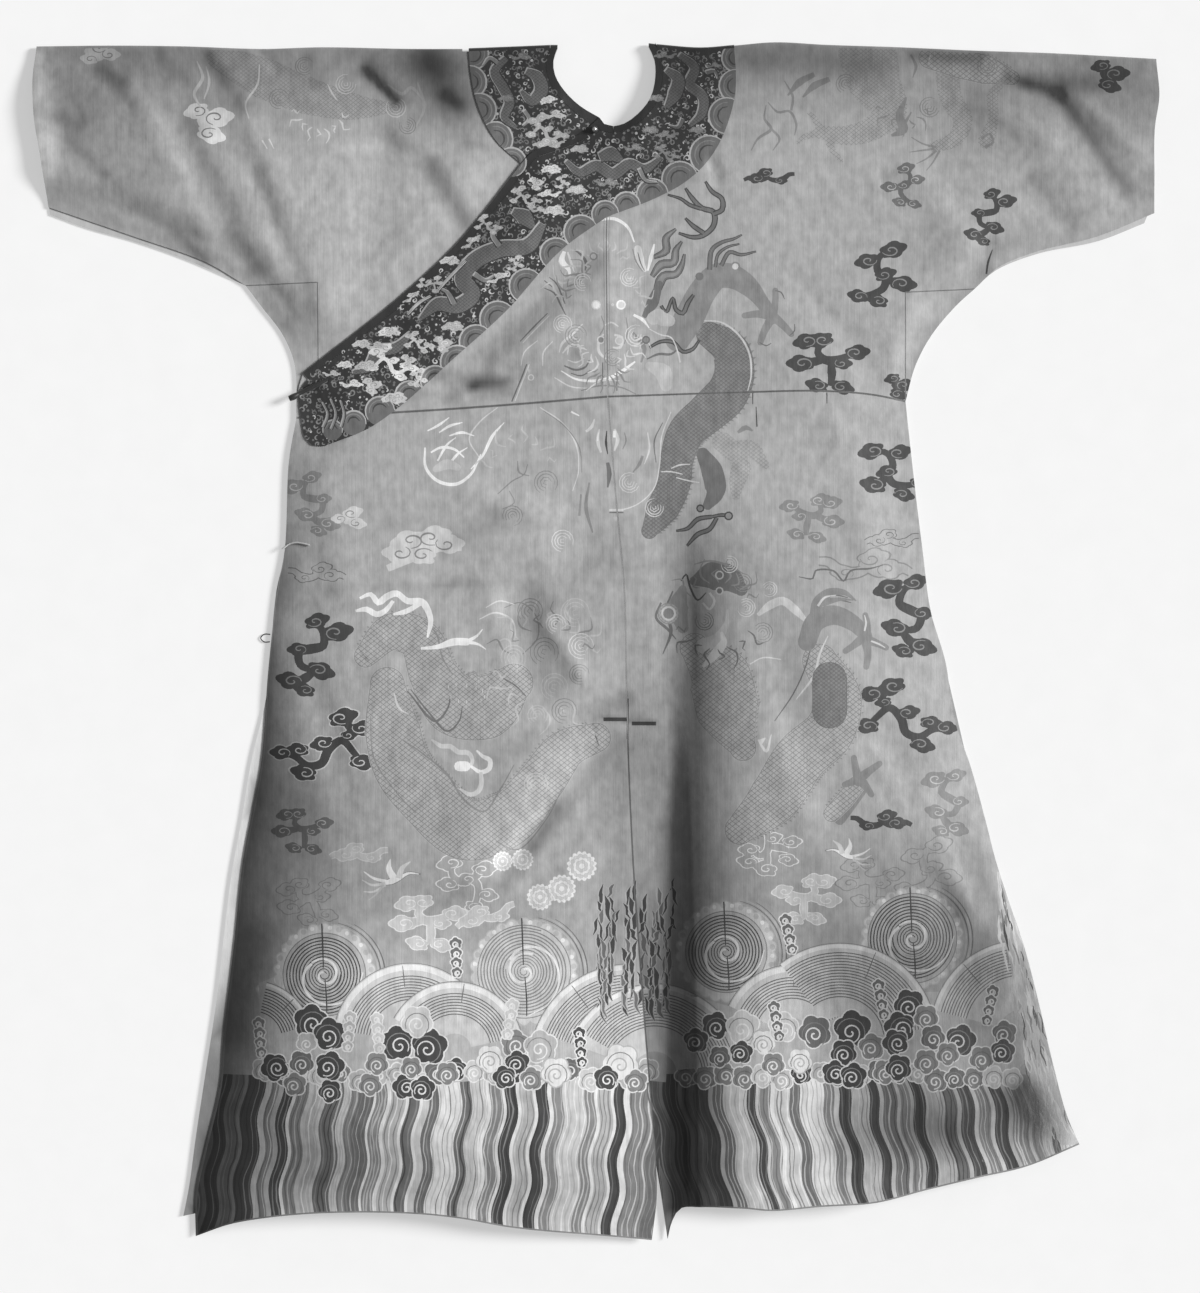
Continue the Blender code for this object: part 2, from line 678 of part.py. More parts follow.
# ---------------------------------------------------------------- the robe


def fold_points():
    """Points along the folds, so that the mesh's edges follow them."""
    found = []
    for row in range(CREST_ROWS):
        y = CREST_FIRST_Y - CREST_STEP * row
        found += [(crest_x(y) - STEEP_SIDE * share, y) for share in (0.0, 0.5, 1.0)]
    for fold in FOLDS:
        count = max(1, round(math.hypot(fold.x2 - fold.x1, fold.y2 - fold.y1) / CELL))
        for i in range(count + 1):
            x = fold.x1 + (fold.x2 - fold.x1) * i / count
            y = fold.y1 + (fold.y2 - fold.y1) * i / count
            if all(math.dist((x, y), p) > CELL * CLEAR_OF_FIXED for p in found):
                found.append((x, y))
    return found


def front_plan():
    shoulders_left = ("shoulder_left", "shoulder_collar_left", "shoulder_binding_left")
    shoulders_right = ("shoulder_binding_right", "shoulder_collar_right", "shoulder_right")
    outlines = {
        "body_and_sleeve_left": loop(
            *shoulders_left, "neck_left", "under_front", "-waist_under", "-gusset_side_left",
            "-gusset_top_left", "-sleeve_left", "-cuff_left",
        ),
        "body_and_sleeve_right": loop(
            *shoulders_right, "cuff_right", "sleeve_right", "gusset_top_right", "gusset_side_right",
            "-waist_right", "-centre_front", "neck_right",
        ),
        "front_overlap": FLAP,
        "gusset_front_left": loop(
            "gusset_top_left", "gusset_side_left", "-waist_side_left", "-underarm_left",
        ),
        "gusset_front_right": loop("gusset_top_right", "gusset_side_right", "-underarm_right"),
        "skirt_front_left": loop(
            "waist_side_left", "waist_left", "centre_skirt", "vent_left", "-hem_left", "-side_left",
        ),
        "skirt_front_right": loop(
            "waist_right", "side_right", "-hem_right", "-vent_right", "-centre_skirt",
        ),
        "neck_binding_left": loop("neck_left", "flap_throat", "-binding_in_left", "shoulder_binding_left"),
        "collar_left": loop("binding_in_left", "flap_neck", "-collar_outer_left", "shoulder_collar_left"),
        "neck_binding_right": NECK_BINDING_RIGHT,
        "flap_binding": loop(
            "-neck_throat", "flap_throat", "flap_neck", "flap_edge", "-binding_in_flap", "-binding_seam",
        ),
        "collar_band": loop(
            "-binding_in_right", "binding_in_flap", "band_end", "band_lower", "collar_lower",
            "-shoulder_collar_right",
        ),
    }
    return Plan(outlines, CELL, fold_points())


def back_plan():
    return Plan(
        {
            "body_and_sleeve_left": loop(
                "shoulder_left", "collar_back_left", "back_seam", "-waist_left", "-waist_side_left",
                "-underarm_left", "-back_sleeve_left", "-back_cuff_left",
            ),
            "body_and_sleeve_right": loop(
                "shoulder_right", "back_cuff_right", "back_sleeve_right", "underarm_right", "-waist_right",
                "-back_seam", "collar_back_right",
            ),
            "skirt_back_left": loop(
                "waist_side_left", "waist_left", "centre_skirt", "back_vent_left", "-back_hem_left",
                "-back_side_left",
            ),
            "skirt_back_right": loop(
                "waist_right", "back_side_right", "-back_hem_right", "-back_vent_right", "-centre_skirt",
            ),
            "neck_binding_left": loop(
                "neck_back_left", "binding_seam", "-binding_in_back_left", "shoulder_binding_left",
            ),
            "neck_binding_right": NECK_BINDING_RIGHT,
            "collar_left": loop(
                "shoulder_collar_left", "binding_in_back_left", "collar_seam_back", "-collar_back_left",
            ),
            "collar_band": loop(
                "shoulder_collar_right", "-collar_back_right", "-collar_seam_back", "binding_in_right",
            ),
        },
        HIDDEN_CELL,
    )


def inner_plan():
    outline = loop("waist_side_left", "waist_under", "inner_side_right", "-inner_hem", "-back_side_left")
    return Plan({"inner_flap": outline}, HIDDEN_CELL)


def build():
    front, back = front_plan(), back_plan()

    def band_height(x, y):
        return outer_height(x, y) + PLY

    def under_band_height(x, y):
        return under_height(x, y) + PLY

    for name, height, shoulder, fold_height, colour in (
        ("body_and_sleeve_left", under_height, "shoulder_left", CLOTH_FOLD, CLOTH_COLOUR),
        ("body_and_sleeve_right", right_height, "shoulder_right", CLOTH_FOLD, CLOTH_COLOUR),
        ("collar_left", under_band_height, "shoulder_collar_left", CLOTH_FOLD + PLY, COLLAR_COLOUR),
        ("collar_band", band_height, "shoulder_collar_right", CLOTH_FOLD + PLY, COLLAR_COLOUR),
        ("neck_binding_left", under_band_height, "shoulder_binding_left", CLOTH_FOLD + PLY, BINDING_COLOUR),
        ("neck_binding_right", band_height, "shoulder_binding_right", CLOTH_FOLD + PLY, BINDING_COLOUR),
    ):
        folded_piece(name, (front, back), height, LINES[shoulder], fold_height, colour)
    for name, plan, height, colour in (
        ("front_overlap", front, left_height, CLOTH_COLOUR),
        ("gusset_front_left", front, under_height, CLOTH_COLOUR),
        ("gusset_front_right", front, right_height, CLOTH_COLOUR),
        ("skirt_front_left", front, left_height, CLOTH_COLOUR),
        ("skirt_front_right", front, right_height, CLOTH_COLOUR),
        ("skirt_back_left", back, back_height, CLOTH_COLOUR),
        ("skirt_back_right", back, back_height, CLOTH_COLOUR),
        ("flap_binding", front, band_height, BINDING_COLOUR),
        ("inner_flap", inner_plan(), inner_height, LINING_COLOUR),
    ):
        flat_piece(name, plan, height, colour)
    cord("side_fastening", SIDE_FASTENING, band_height, BINDING_COLOUR)
    cord("hip_loop", HIP_LOOP, left_height, CLOTH_COLOUR)
    steps = (-LOOP_REACH, 0, LOOP_REACH)
    foot = GAP + max(band_height(BUTTON_AT.x + dx, BUTTON_AT.y + dy) for dx in steps for dy in steps)
    ball("neck_button", (*BUTTON_AT, foot + BUTTON_RADIUS), BUTTON_RADIUS, METAL_COLOUR)
    ring("neck_loop", (*BUTTON_AT, foot + LOOP_CORD), LOOP_RADIUS, LOOP_CORD, BINDING_COLOUR)


for old in list(bpy.data.objects):
    bpy.data.objects.remove(old)
ROBE = bpy.data.collections.new("chinese_dragon_robe")
bpy.context.scene.collection.children.link(ROBE)
build()
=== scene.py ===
"""A Chinese dragon robe laid flat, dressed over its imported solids: satin panels woven with dragons, clouds,
waves and stripes, a dark brocade collar, and its cords and button.

Tables are in millimetres: x from the middle of the span, y from the middle of the length, z from the ground.
Every panel of the front is cut from one plan of points, in which each woven shape has its own triangles, so
that a shape keeps a crisp edge. The objects are in metres.
"""

import math
import random
from collections import namedtuple

import bpy
import numpy as np
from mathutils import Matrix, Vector
from mathutils.geometry import delaunay_2d_cdt


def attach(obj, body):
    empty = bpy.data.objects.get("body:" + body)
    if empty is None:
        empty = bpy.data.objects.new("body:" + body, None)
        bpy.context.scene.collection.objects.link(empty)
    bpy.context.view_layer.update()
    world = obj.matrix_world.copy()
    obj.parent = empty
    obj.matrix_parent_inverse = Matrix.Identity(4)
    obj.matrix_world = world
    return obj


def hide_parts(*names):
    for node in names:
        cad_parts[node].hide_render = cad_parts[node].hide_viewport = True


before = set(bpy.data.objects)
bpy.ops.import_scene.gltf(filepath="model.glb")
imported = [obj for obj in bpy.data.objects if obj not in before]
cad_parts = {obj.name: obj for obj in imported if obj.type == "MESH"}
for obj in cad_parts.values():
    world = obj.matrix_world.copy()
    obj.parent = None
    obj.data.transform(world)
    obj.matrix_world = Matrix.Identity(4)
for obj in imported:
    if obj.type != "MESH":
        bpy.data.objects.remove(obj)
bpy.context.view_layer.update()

MM = 0.001
DOT_LENGTH = 0.5  # of a dot of the woven picture, along x

# ---------------------------------------------------------------- how the tables are read

Point = namedtuple("Point", "x y")
Level = namedtuple("Level", "y lift")
Fold = namedtuple("Fold", "x1 y1 x2 y2 width lift")
Wave = namedtuple("Wave", "across along start lift")
CordPoint = namedtuple("CordPoint", "x y above radius")


def words(line):
    """The words of a line of a table, with its numbers as numbers."""
    return [word if word[0].isalpha() else float(word) for word in line.split()]


def rows(text):
    return [words(line) for line in text.strip().splitlines()]


def table(kind, text):
    return [kind(*row) for row in rows(text)]


def points(text):
    """Points or other small groups that commas part."""
    return [tuple(words(part)) for part in text.split(",")]


def fields(text):
    """Lines of a table whose fields colons part."""
    return [line.split(":") for line in text.strip().splitlines()]


def strokes(text):
    """Lines of a table as thread, route and widths; one point alone is a dot."""
    found = []
    for thread, route, widths in fields(text):
        route = points(route)
        if len(route) == 1:
            route.append((route[0][0] + DOT_LENGTH, route[0][1]))
        found.append((thread, route, words(widths)))
    return found


# ---------------------------------------------------------------- sizes

# Cloth and seams
WALL = 1.2  # one thickness of lined satin
GAP = 0.3  # left between pieces at a seam, and between layers
PLY = WALL + GAP
CELL = 5.5  # spacing of the inner points of the panels that show
LINING_CELL = 6.0  # the same for their lining
HIDDEN_CELL = 60.0  # the same for the flat back and the inner flap
SAMPLE = 8.0  # spacing along an edge
CLEAR_OF_EDGE, ROW_SPACING = 0.5, 0.87  # of the inner points, as shares of their spacing
BINDING = 9.0  # width of the plain strip along the neck and the flap's edge
FOLD_STEPS = 8  # faces round the shoulder fold
EDGE_MITRE, SEAM_MITRE = 0.6, 0.35  # least cosines by which a corner's shift is divided
SHARP_ANGLE = math.radians(50)  # sides that meet at more than this aren't smoothed

# Heights of the visible surface above the layers that lie flat below it
CLOTH_FOLD = 7.0
BAND_FOLD = CLOTH_FOLD + PLY
SHOULDER_LIFT = CLOTH_FOLD - PLY - WALL
SHOULDER_BLEND = 70.0
UPPER_LIFT = 13.0
WAIST_BLEND_FROM, WAIST_BLEND_TO = 300.0, 430.0
SLEEVE_ROLL, LEFT_ROLL, RIGHT_ROLL, FLAP_ROLL = 55.0, 100.0, 150.0, 60.0
FOLDS_FULL = 6.0
CREASE_DEPTH = 1.7
SKIRT_LIFT = table(Level, """
430 11
200 11
0 14
-250 20
-450 25
-720 27
""")

# The great fold of the right skirt: a valley along the front opening, then a steep side up to a crest
VALLEY_STARTS_Y, VALLEY_FULL_Y = 100.0, -240.0
CREST_TOP, CREST_HEM = Point(113, 97), Point(126, -680)
STEEP_SIDE = 27.0
VALLEY_FLOOR = 1.5
SEAM_BLEND_FROM, SEAM_BLEND_TO = 220.0, 100.0
LEFT_BLEND, RIGHT_BLEND = 200.0, 40.0
OVER_LEFT = 60.0
SLIT_OPENS = 90.0

# Smaller folds: a ridge where lift is above nought, a trough where it is below
FOLDS = table(Fold, """
-640 605 -523 490 34 -4
-499 637 -440 505 34 -4.5
-440 505 -379 391 30 -4
497 676 557 655 26 -1.5
557 655 638 541 30 -3.5
521 553 575 499 26 -2.5
-180 296 -105 330 24 -3
-7 97 -115 1 40 -4.5
-190 73 -85 80 22 -2.5
5 -143 -95 -280 42 -7
-60 -110 -150 -235 38 3
341 -119 437 -287 28 -3.5
300 -330 330 -650 45 3.5
430 -330 470 -620 40 -4
-300 -350 -320 -660 45 3
-120 -420 -110 -680 50 -3.5
""")
# Creases that only the cloth itself shows
CREASES = table(Fold, """
-487 487 -467 455 9 -1.6
-469 703 -451 673 8 -1.2
-401 709 -385 685 8 -1.2
-277 691 -241 649 12 -1.8
-560 660 -500 560 16 1.5
-600 690 -560 640 12 -1.2
-420 620 -370 520 18 1.6
-410 560 -345 400 12 -1.4
-250 600 -190 540 16 -1.2
473 475 467 443 9 -1.6
138 577 145 553 7 -1.4
470 640 540 600 14 1.6
590 640 645 590 12 1.4
380 560 450 470 18 1.3
-199 319 -115 301 11 -1.8
-43 373 -199 301 13 1.6
-30 345 -150 300 9 -1.2
-127 145 -187 115 12 -1.8
-150 175 -60 150 16 1.3
-90 50 -60 -60 26 -2.6
-130 60 -110 -30 18 1.6
-60 20 -20 -40 12 1.5
29 -71 -139 -143 13 -1.8
20 -100 -110 -170 12 1.6
-30 -200 -100 -290 16 2.4
-120 -230 -180 -300 12 -1.4
-330 200 -300 60 22 1.2
-340 -60 -300 -180 20 -1.4
-250 -40 -300 -160 18 1.2
300 240 330 90 22 1.2
190 60 240 -100 24 -1.4
210 -120 290 -300 26 1.6
390 -180 450 -330 16 1.6
250 420 330 330 20 -1.2
90 420 190 380 22 1.1
""")
# Waves whose sum is the faint unevenness of old cloth: length across and along in mm, start and height
WAVES = table(Wave, """
29 61 0.3 0.1
-23 37 1.9 0.08
13 -47 4.1 0.06
-9.5 17 2.7 0.035
7.3 11.9 5.2 0.03
""")

# Corners that several edges share
CORNERS = {name: Point(x, y) for name, x, y in rows("""
throat 4 629
neck_low 21 618
vent_top 38 -101
waist_mid 14 293
binding_end -346 315
binding_low 21 609
""")}
# Edges and seams, each through the given points and corners
EDGES = {name: points(route) for name, route in fields("""
shoulder_left: -672 711, -582 712, -492 711, -402 708, -330 710, -222 708, -153 708
shoulder_collar_left: -153 708, -102 710, -55 712
shoulder_binding_left: -55 712, -46 712
shoulder_binding_right: 63 714, 72 713
shoulder_collar_right: 72 713, 125 709, 166 712
shoulder_right: 166 712, 215 716, 275 713, 365 710, 455 706, 545 703, 673 696
cuff_left: -672 711, -676 679, -674 625, -667 583, -658 521
cuff_right: 673 696, 676 655, 670 613, 671 514
sleeve_left: -658 521, -559 487, -469 455, -421 427
sleeve_right: 671 514, 605 487, 533 469, 482 448, 455 423
gusset_top_left: -421 427, -334 430
gusset_top_right: 455 423, 371 418
gusset_side_left: -334 430, -334 270
gusset_side_right: 371 418, 372 288
underarm_left: -421 427, -403 403, -376 367, -362 331, -360 268
underarm_right: 455 423, 433 403, 403 367, 384 331, 372 288
neck_left: -46 712, -51 697, -49 679, -38 660, -20 643, throat
neck_throat: throat, 10 621, neck_low
neck_right: neck_low, 34 621, 50 632, 65 651, 71 677, 70 698, 63 714
flap_throat: throat, -6 620
flap_neck: -6 620, -16 611, -48 598, -76 588, -90 573
flap_edge: -90 573, -161 484, -235 414, -352 322
band_end: binding_end, -356 300, -353 258, -349 243, -341 235, -325 234
band_lower: -325 234, -274 254, -235 281, -171 338, -107 396, -42 468, 13 508
collar_lower: 13 508, 70 530, 107 550, 133 574, 152 605, 166 650, 168 680, 166 712
collar_outer_left: -153 708, -150 677, -142 642, -121 601, -90 573
collar_back_left: -153 708, -142 642, -105 585, -50 550, 13 538
collar_back_right: 13 538, 75 550, 135 590, 164 650, 166 712
neck_back_left: -46 712, -51 697, -49 679, -38 660, -20 643, 1 624, neck_low
binding_in_left: -55 712, -60 697, -58 677, -46 654, -27 636, -6 620
binding_seam: neck_low, binding_low
collar_seam_back: binding_low, 13 538
centre_front: neck_low, 13 508, 13 397, waist_mid
under_front: throat, 2 600, 2 292
flap_side: -352 322, -359 296, -360 268
waist_side_left: -360 268, -334 270
waist_left: -334 270, -242 274, -107 283, waist_mid
waist_under: -334 270, -242 274, -107 283, 2 292
waist_right: waist_mid, 167 298, 269 300, 330 296, 372 288
centre_skirt: waist_mid, 25 160, 34 61, 36 -37, vent_top
side_left: -360 268, -369 216, -374 110, -383 61, -394 -37, -402 -143, -424 -263, -435 -364, -448 -477, \
-452 -532, -471 -614, -481 -661, -481 -715
side_right: 372 288, 377 241, 385 170, 393 105, 402 37, 420 -25, 431 -95, 450 -150, 468 -215, 480 -262, \
497 -315, 514 -365, 531 -430, 548 -503, 566 -570, 581 -605
hem_left: -481 -715, -432 -697, -342 -685, -222 -685, -162 -691, -102 -702, 5 -713, 67 -719
hem_right: 86 -719, 92 -696, 103 -681, 173 -679, 210 -682, 270 -677, 335 -672, 395 -657, 455 -643, \
515 -630, 581 -605
vent_left: vent_top, 39 -143, 45 -274, 56 -428, 62 -503, 72 -626, 73 -668, 67 -719
vent_right: vent_top, 39 -143, 40 -195, 38 -274, 48 -428, 58 -560, 74 -641, 86 -719
back_cuff_left: -672 711, -676 679, -674 625, -667 583, -656 512
back_sleeve_left: -656 512, -612 496, -552 479, -490 457, -421 427
back_cuff_right: 673 696, 676 655, 670 613, 669 530, 659 502
back_sleeve_right: 659 502, 605 481, 533 466, 480 445, 455 423
back_side_left: -360 268, -368 216, -373 110, -384 61, -390 1, -397 -71, -414 -143, -426 -215, -439 -287, \
-456 -431, -471 -530, -481 -596, -489 -655, -496 -691
back_side_right: 372 288, 384 170, 400 37, 418 -25, 448 -150, 478 -262, 512 -365, 546 -503, 564 -570, \
574 -600
back_hem_left: -496 -691, -440 -680, -342 -676, -160 -676, 60 -684
back_hem_right: 98 -672, 173 -671, 335 -664, 455 -636, 574 -600
back_seam: 13 538, waist_mid
back_vent_left: vent_top, 48 -400, 60 -684
back_vent_right: vent_top, 62 -400, 98 -672
inner_side_right: 2 292, 0 -400, -10 -672
inner_hem: -496 -691, -440 -678, -342 -673, -10 -672
""")}

# Cords: each lies this far above the piece below it, and its radius changes along it
SIDE_FASTENING = table(CordPoint, """
-322 314 0.9 1.6
-332 309 0.9 2.6
-344 303 0.9 3
-356 297 0.9 2.8
-363 293 0.9 3.9
-368 291 0.9 3.4
""")
HIP_LOOP = table(CordPoint, """
-344 115 0.6 1
-352 117 0.6 1
-361 118 0.6 1
-369 116 0.6 1
-377 110 0.6 1.2
""")
EDGE_LOOP = table(CordPoint, """
-391.5 8 0 0.7
-399 8 0 0.7
-403 3.5 0 0.7
-399 -1 0 0.7
-392 -1 0 0.7
""")
CORD_SAMPLE = 1.0
BUTTON_AT, BUTTON_RADIUS, BUTTON_GROOVE, BUTTON_LOBES = Point(-2, 614), 3.2, 0.12, 10
LOOP_RADIUS, LOOP_CORD = 3.6, 0.8
LOOP_REACH = LOOP_RADIUS + LOOP_CORD

# ---------------------------------------------------------------- looks

# The threads of the woven picture, by how light they are
THREADS = {
    "pale": 0.68, "light": 0.52, "soft": 0.42, "mid": 0.22, "dim": 0.14, "dark": 0.055, "black": 0.035,
}
# The other silks: name, tone, then the depth and pitch in mm of the lines of a dragon's scales
SILKS = {
    "ground": ("satin", 0.345),
    "scales": ("scale_silk", 0.365, (0.50, 7.6)),
    "scales_dark": ("dark_scale_silk", 0.20, (0.50, 6.0)),
    "scales_fine": ("brocade_scale_silk", 0.15, (0.50, 5.0)),
    "faint": ("faint_scale_silk", 0.33, (0.36, 6.0)),
    "lining": ("lining_silk", 0.5, None, 0.06),
    "brocade": ("brocade_ground", 0.035),
    "binding": ("binding_silk", 0.028),
}
SCALE_LINE, SCALE_SLANT = 0.3, 1.25
# Scales of the noises in the silk
STREAKS, BROAD_STAINS, MOTTLING = (900, 14, 14), (5, 4, 4), (90, 60, 60)
THREAD_GRAIN, WRINKLES = (1500, 160, 160), (34, 20, 20)
WARP_CONTRAST, WRINKLE_DEPTH = 4.2, 14
WEFT_PITCH = 0.0011  # metres

# Light: a low key from the right side, and an even fill
KEY_STRENGTH, KEY_SOFTNESS = 5.2, math.radians(18)
KEY_SIDE, KEY_RISE = math.radians(14), math.radians(29)
FILL_STRENGTH = 0.30
FLOOR_REACH, FLOOR_BELOW = 16.0, 0.001  # metres

CAMERA_AT = Point(4.8, -6.6)
CAMERA_HEIGHT = 5.8285  # metres above the ground
CAMERA_LENS, CAMERA_REACH = 135, 60

# ---------------------------------------------------------------- the woven picture's tables

BODY_SEED, COLLAR_SEED = 7, 11

# The woven border along the hem: stripes, then curls of spray, hills of water and whirls
STRIPES_TOP, STRIPES_END = -520, -740
STRIPE_SWAY, STRIPE_WAVE, STRIPE_PEAK, STRIPE_SHIFT = 3.4, 78.0, -599.0, 0.12
STRIPE_LEAN_LEFT, STRIPE_LEAN_RIGHT = -0.10, 0.19
STRIPE_STEP, STRIPE_LINE_SPACING, STRIPE_LINED_FROM = 5, 5.2, 8
# The threads that wander inside a stripe of each thread
STRIPE_LINES = {thread: inner for thread, *inner in rows("""
pale light soft mid
light pale soft mid
soft light mid pale
mid dim soft light
dim mid soft dark
dark dim black mid
""")}
STRIPES_LEFT_X, STRIPES_RIGHT_X = -472, 60
# Stripes from left to right: width and thread
STRIPES_LEFT = points("""
12 dim, 5 mid, 16 dark, 4 mid, 12 dim, 4 mid, 22 dark, 7 light, 9 mid, 6 soft, 12.5 dark, 4 pale, 14 mid,
5.5 light, 13 soft, 3.7 light, 20 dim, 9 light, 9 mid, 18 dim, 3 pale, 13.6 mid, 4.6 pale, 17.5 soft,
3.7 pale, 13 dim, 3.7 pale, 8 light, 12 dim, 28 pale, 12 dim, 19 light, 4 pale, 15 mid, 3.6 pale,
14 dark, 4 pale, 16 soft, 4 pale, 14 dark, 5 pale, 13 mid, 27 light, 12 mid, 4 pale, 16 soft, 3.6 pale,
12 dark, 7.4 pale, 25 mid, 20 dim
""")
# The first right stripes lie in the valley of the great fold; their dark threads are partly painted shade.
STRIPES_RIGHT = points("""
14 dim, 4 mid, 18 dark, 5 mid, 13 dim, 9 dark, 8.4 dark, 5 soft, 12 dim, 28 light, 10 dark, 3.4 light,
14 mid, 4.7 pale, 17.7 light, 12 dim, 28 pale, 12 mid, 6 light, 14 dark, 21.5 soft, 11.5 dark, 4.8 soft,
16 dim, 4 soft, 11.4 mid, 4 soft, 14 dark, 22.5 soft, 14.6 dim, 5 soft, 16 dark, 5 light, 14 mid,
5 light, 16 dark, 5 soft, 19 mid, 4 soft, 12 mid, 12 light, 9 dark, 60 pale
""")
SPRAY_FROM_TO, SPRAY_STEP, SPRAY_Y, SPRAY_GAP = (-398, 520), 23, -519, (66, 96)
SPRAY_THREADS = ("mid", "soft", "dim", "dark", "mid", "light")
# A curl of spray: its lobes, its rim in mm, then its parts as shares of its radius
SPRAY_LOBES, SPRAY_RIM, SPRAY_OFFSET, SPRAY_ARC, SPRAY_CURL, SPRAY_TURNS = 5, 1.6, 0.22, 0.74, 0.56, 1.45
SPRAY_RIM_DEPTH, SPRAY_DEPTH, SPRAY_ARC_FROM = 0.17, 0.20, 12
# The columns of small spray: curls, how far apart, the first radius and by how much each is smaller
COLUMN_CURLS, COLUMN_STEP, COLUMN_RADIUS, COLUMN_TAPER = 4, 11.5, 7.5, 0.4
# Columns of small spray: top, lean and thread
SPRAY_COLUMNS = rows("""
-168 -362 0.5 dim
227 -334 2.5 dim
213 -438 2 dim
-294 -450 -1 soft
-20 -470 1 dark
-404 -458 1 mid
476 -420 -2.5 dim
338 -412 2 dim
-262 -452 1 light
-100 -436 -2 light
""")
# Where only spray shows between the stripes and the hills
FOAM_ZONES = [points(zone) for zone in """
-404 -410, -380 -400, -330 -455, -250 -420, -190 -460, -90 -445, -30 -440, 40 -410, 90 -400, 84 -530,
40 -526, -60 -520, -170 -528, -300 -524, -400 -526;
100 -420, 170 -440, 250 -400, 330 -420, 440 -420, 500 -400, 520 -500, 500 -520, 400 -516, 300 -524,
180 -516, 100 -510
""".split(";")]
# Whirls: x, y, radius of the disc, radius of the rim, hand, ground
WHIRLS = rows("""
-325 -399 47 61 1 soft
-86 -396 53 64 -1 light
156 -372 46 60 1 soft
379 -356 51 61 1 soft
""")
WHIRL_PITCH, WHIRL_LOBES = 3.8, 26
# Lines of water outside a whirl, from the outermost: thread and width; then their place and how they shift
WAKE = (("dim", 1.6), ("soft", 3.0), ("dim", 1.4), ("soft", 2.0))
WAKE_X, WAKE_Y, WAKE_OUT, WAKE_PITCH, WAKE_FROM, WAKE_TO, WAKE_TURN = 3, -2, 9, 2.6, -48, 62, 4
# The beads on a whirl's rim, and its eye as a share of the disc
BEADS, BEAD_FROM, BEAD_STEP, BEAD_INSIDE, BEAD_SMALL, BEAD_LARGE = 22, -60, 11, 4.6, 2.6, 3.4
WHIRL_EYE = 0.42
# The lines on a hill of water: how far below its rim, how far apart, and the least radius as a share
HILL_BELOW, HILL_PITCH, HILL_LEAST, HILL_FOOT = 1.8, 3.5, 0.22, 0.25
# Hills of water: x, y, radius, from and to in degrees, lines, rim, body
BREAKERS = rows("""
-222 -478 92 20 172 9 13 light
-409 -478 70 15 78 9 6 soft
-169 -490 82 12 152 8 12 light
40 -508 120 92 160 12 11 light
70 -520 108 10 150 12 10 light
235 -472 84 22 155 8 13 light
292 -478 116 8 128 16 9 light
510 -470 110 95 165 10 8 light
""")
# Curls of spray: x, y, radius, thread, turn in degrees, hand
FOAM = rows("""
-341 -455 21 dark 120 1
-318 -470 20 dark 60 -1
-385 -510 17 dark 160 1
-352 -504 15 dim 90 1
-318 -508 18 dark 40 -1
-346 -480 12 soft 90 1
-318 -538 14 dark 80 1
-270 -530 14 mid 90 1
-360 -530 14 mid 60 1
-238 -481 21 dark 130 -1
-199 -485 22 dark 50 1
-214 -455 19 light 90 1
-229 -533 15 dark 140 -1
-207 -535 15 dark 50 1
-262 -505 14 mid 90 1
-221 -510 13 mid 90 1
-178 -517 14 mid 90 1
-127 -500 17 pale 90 1
-97 -482 17 mid 120 1
-66 -486 20 soft 60 -1
-94 -505 15 dark 60 1
-110 -522 14 dark 140 -1
-77 -524 14 mid 60 1
-48 -516 18 pale 90 1
30 -505 22 pale 80 1
12 -524 15 dark 120 -1
48 -528 14 mid 60 1
143 -460 17 dark 110 1
120 -478 15 dark 60 1
176 -462 20 light 60 -1
200 -480 15 pale 90 1
148 -497 13 dim 90 1
174 -492 14 dark 50 1
224 -462 18 light 120 -1
262 -467 20 dim 80 1
307 -464 23 dark 60 -1
296 -492 16 dark 90 1
285 -516 15 dark 120 -1
308 -520 16 dark 50 1
330 -485 16 mid 60 1
346 -515 15 mid 90 1
212 -506 14 mid 90 1
244 -502 15 pale 90 1
375 -435 19 dark 80 1
363 -462 19 dark 140 -1
395 -450 15 mid 90 1
358 -480 16 dark 150 1
403 -474 15 dim 100 -1
437 -478 19 dark 40 1
362 -510 16 dark 80 1
395 -503 15 mid 90 1
421 -494 14 mid 90 1
462 -500 15 mid 90 1
490 -470 15 dim 60 1
488 -492 15 dark 50 1
""")
# Painted sheen along the right side, where the skirt's edge curls: its top, its widths at these shares of its
# length, and its flecks
SHEEN_FROM, SHEEN_SHARES, SHEEN_WIDTHS = -270, (0, 0.25, 0.8, 1), (3, 22, 30, 22)
SHEEN_FLECKS, FLECK_THREADS = 80, ("pale", "pale", "pale", "soft", "mid", "dark")
# The rock: left, right, low and high, its columns, and the bend of a sliver across and down
ROCK_BOX, ROCK_COLUMNS = (2, 94, -430, -282), 15
ROCK_BEND = ((0, 0), (0.45, 0.3), (0.4, 0.65), (1, 1))

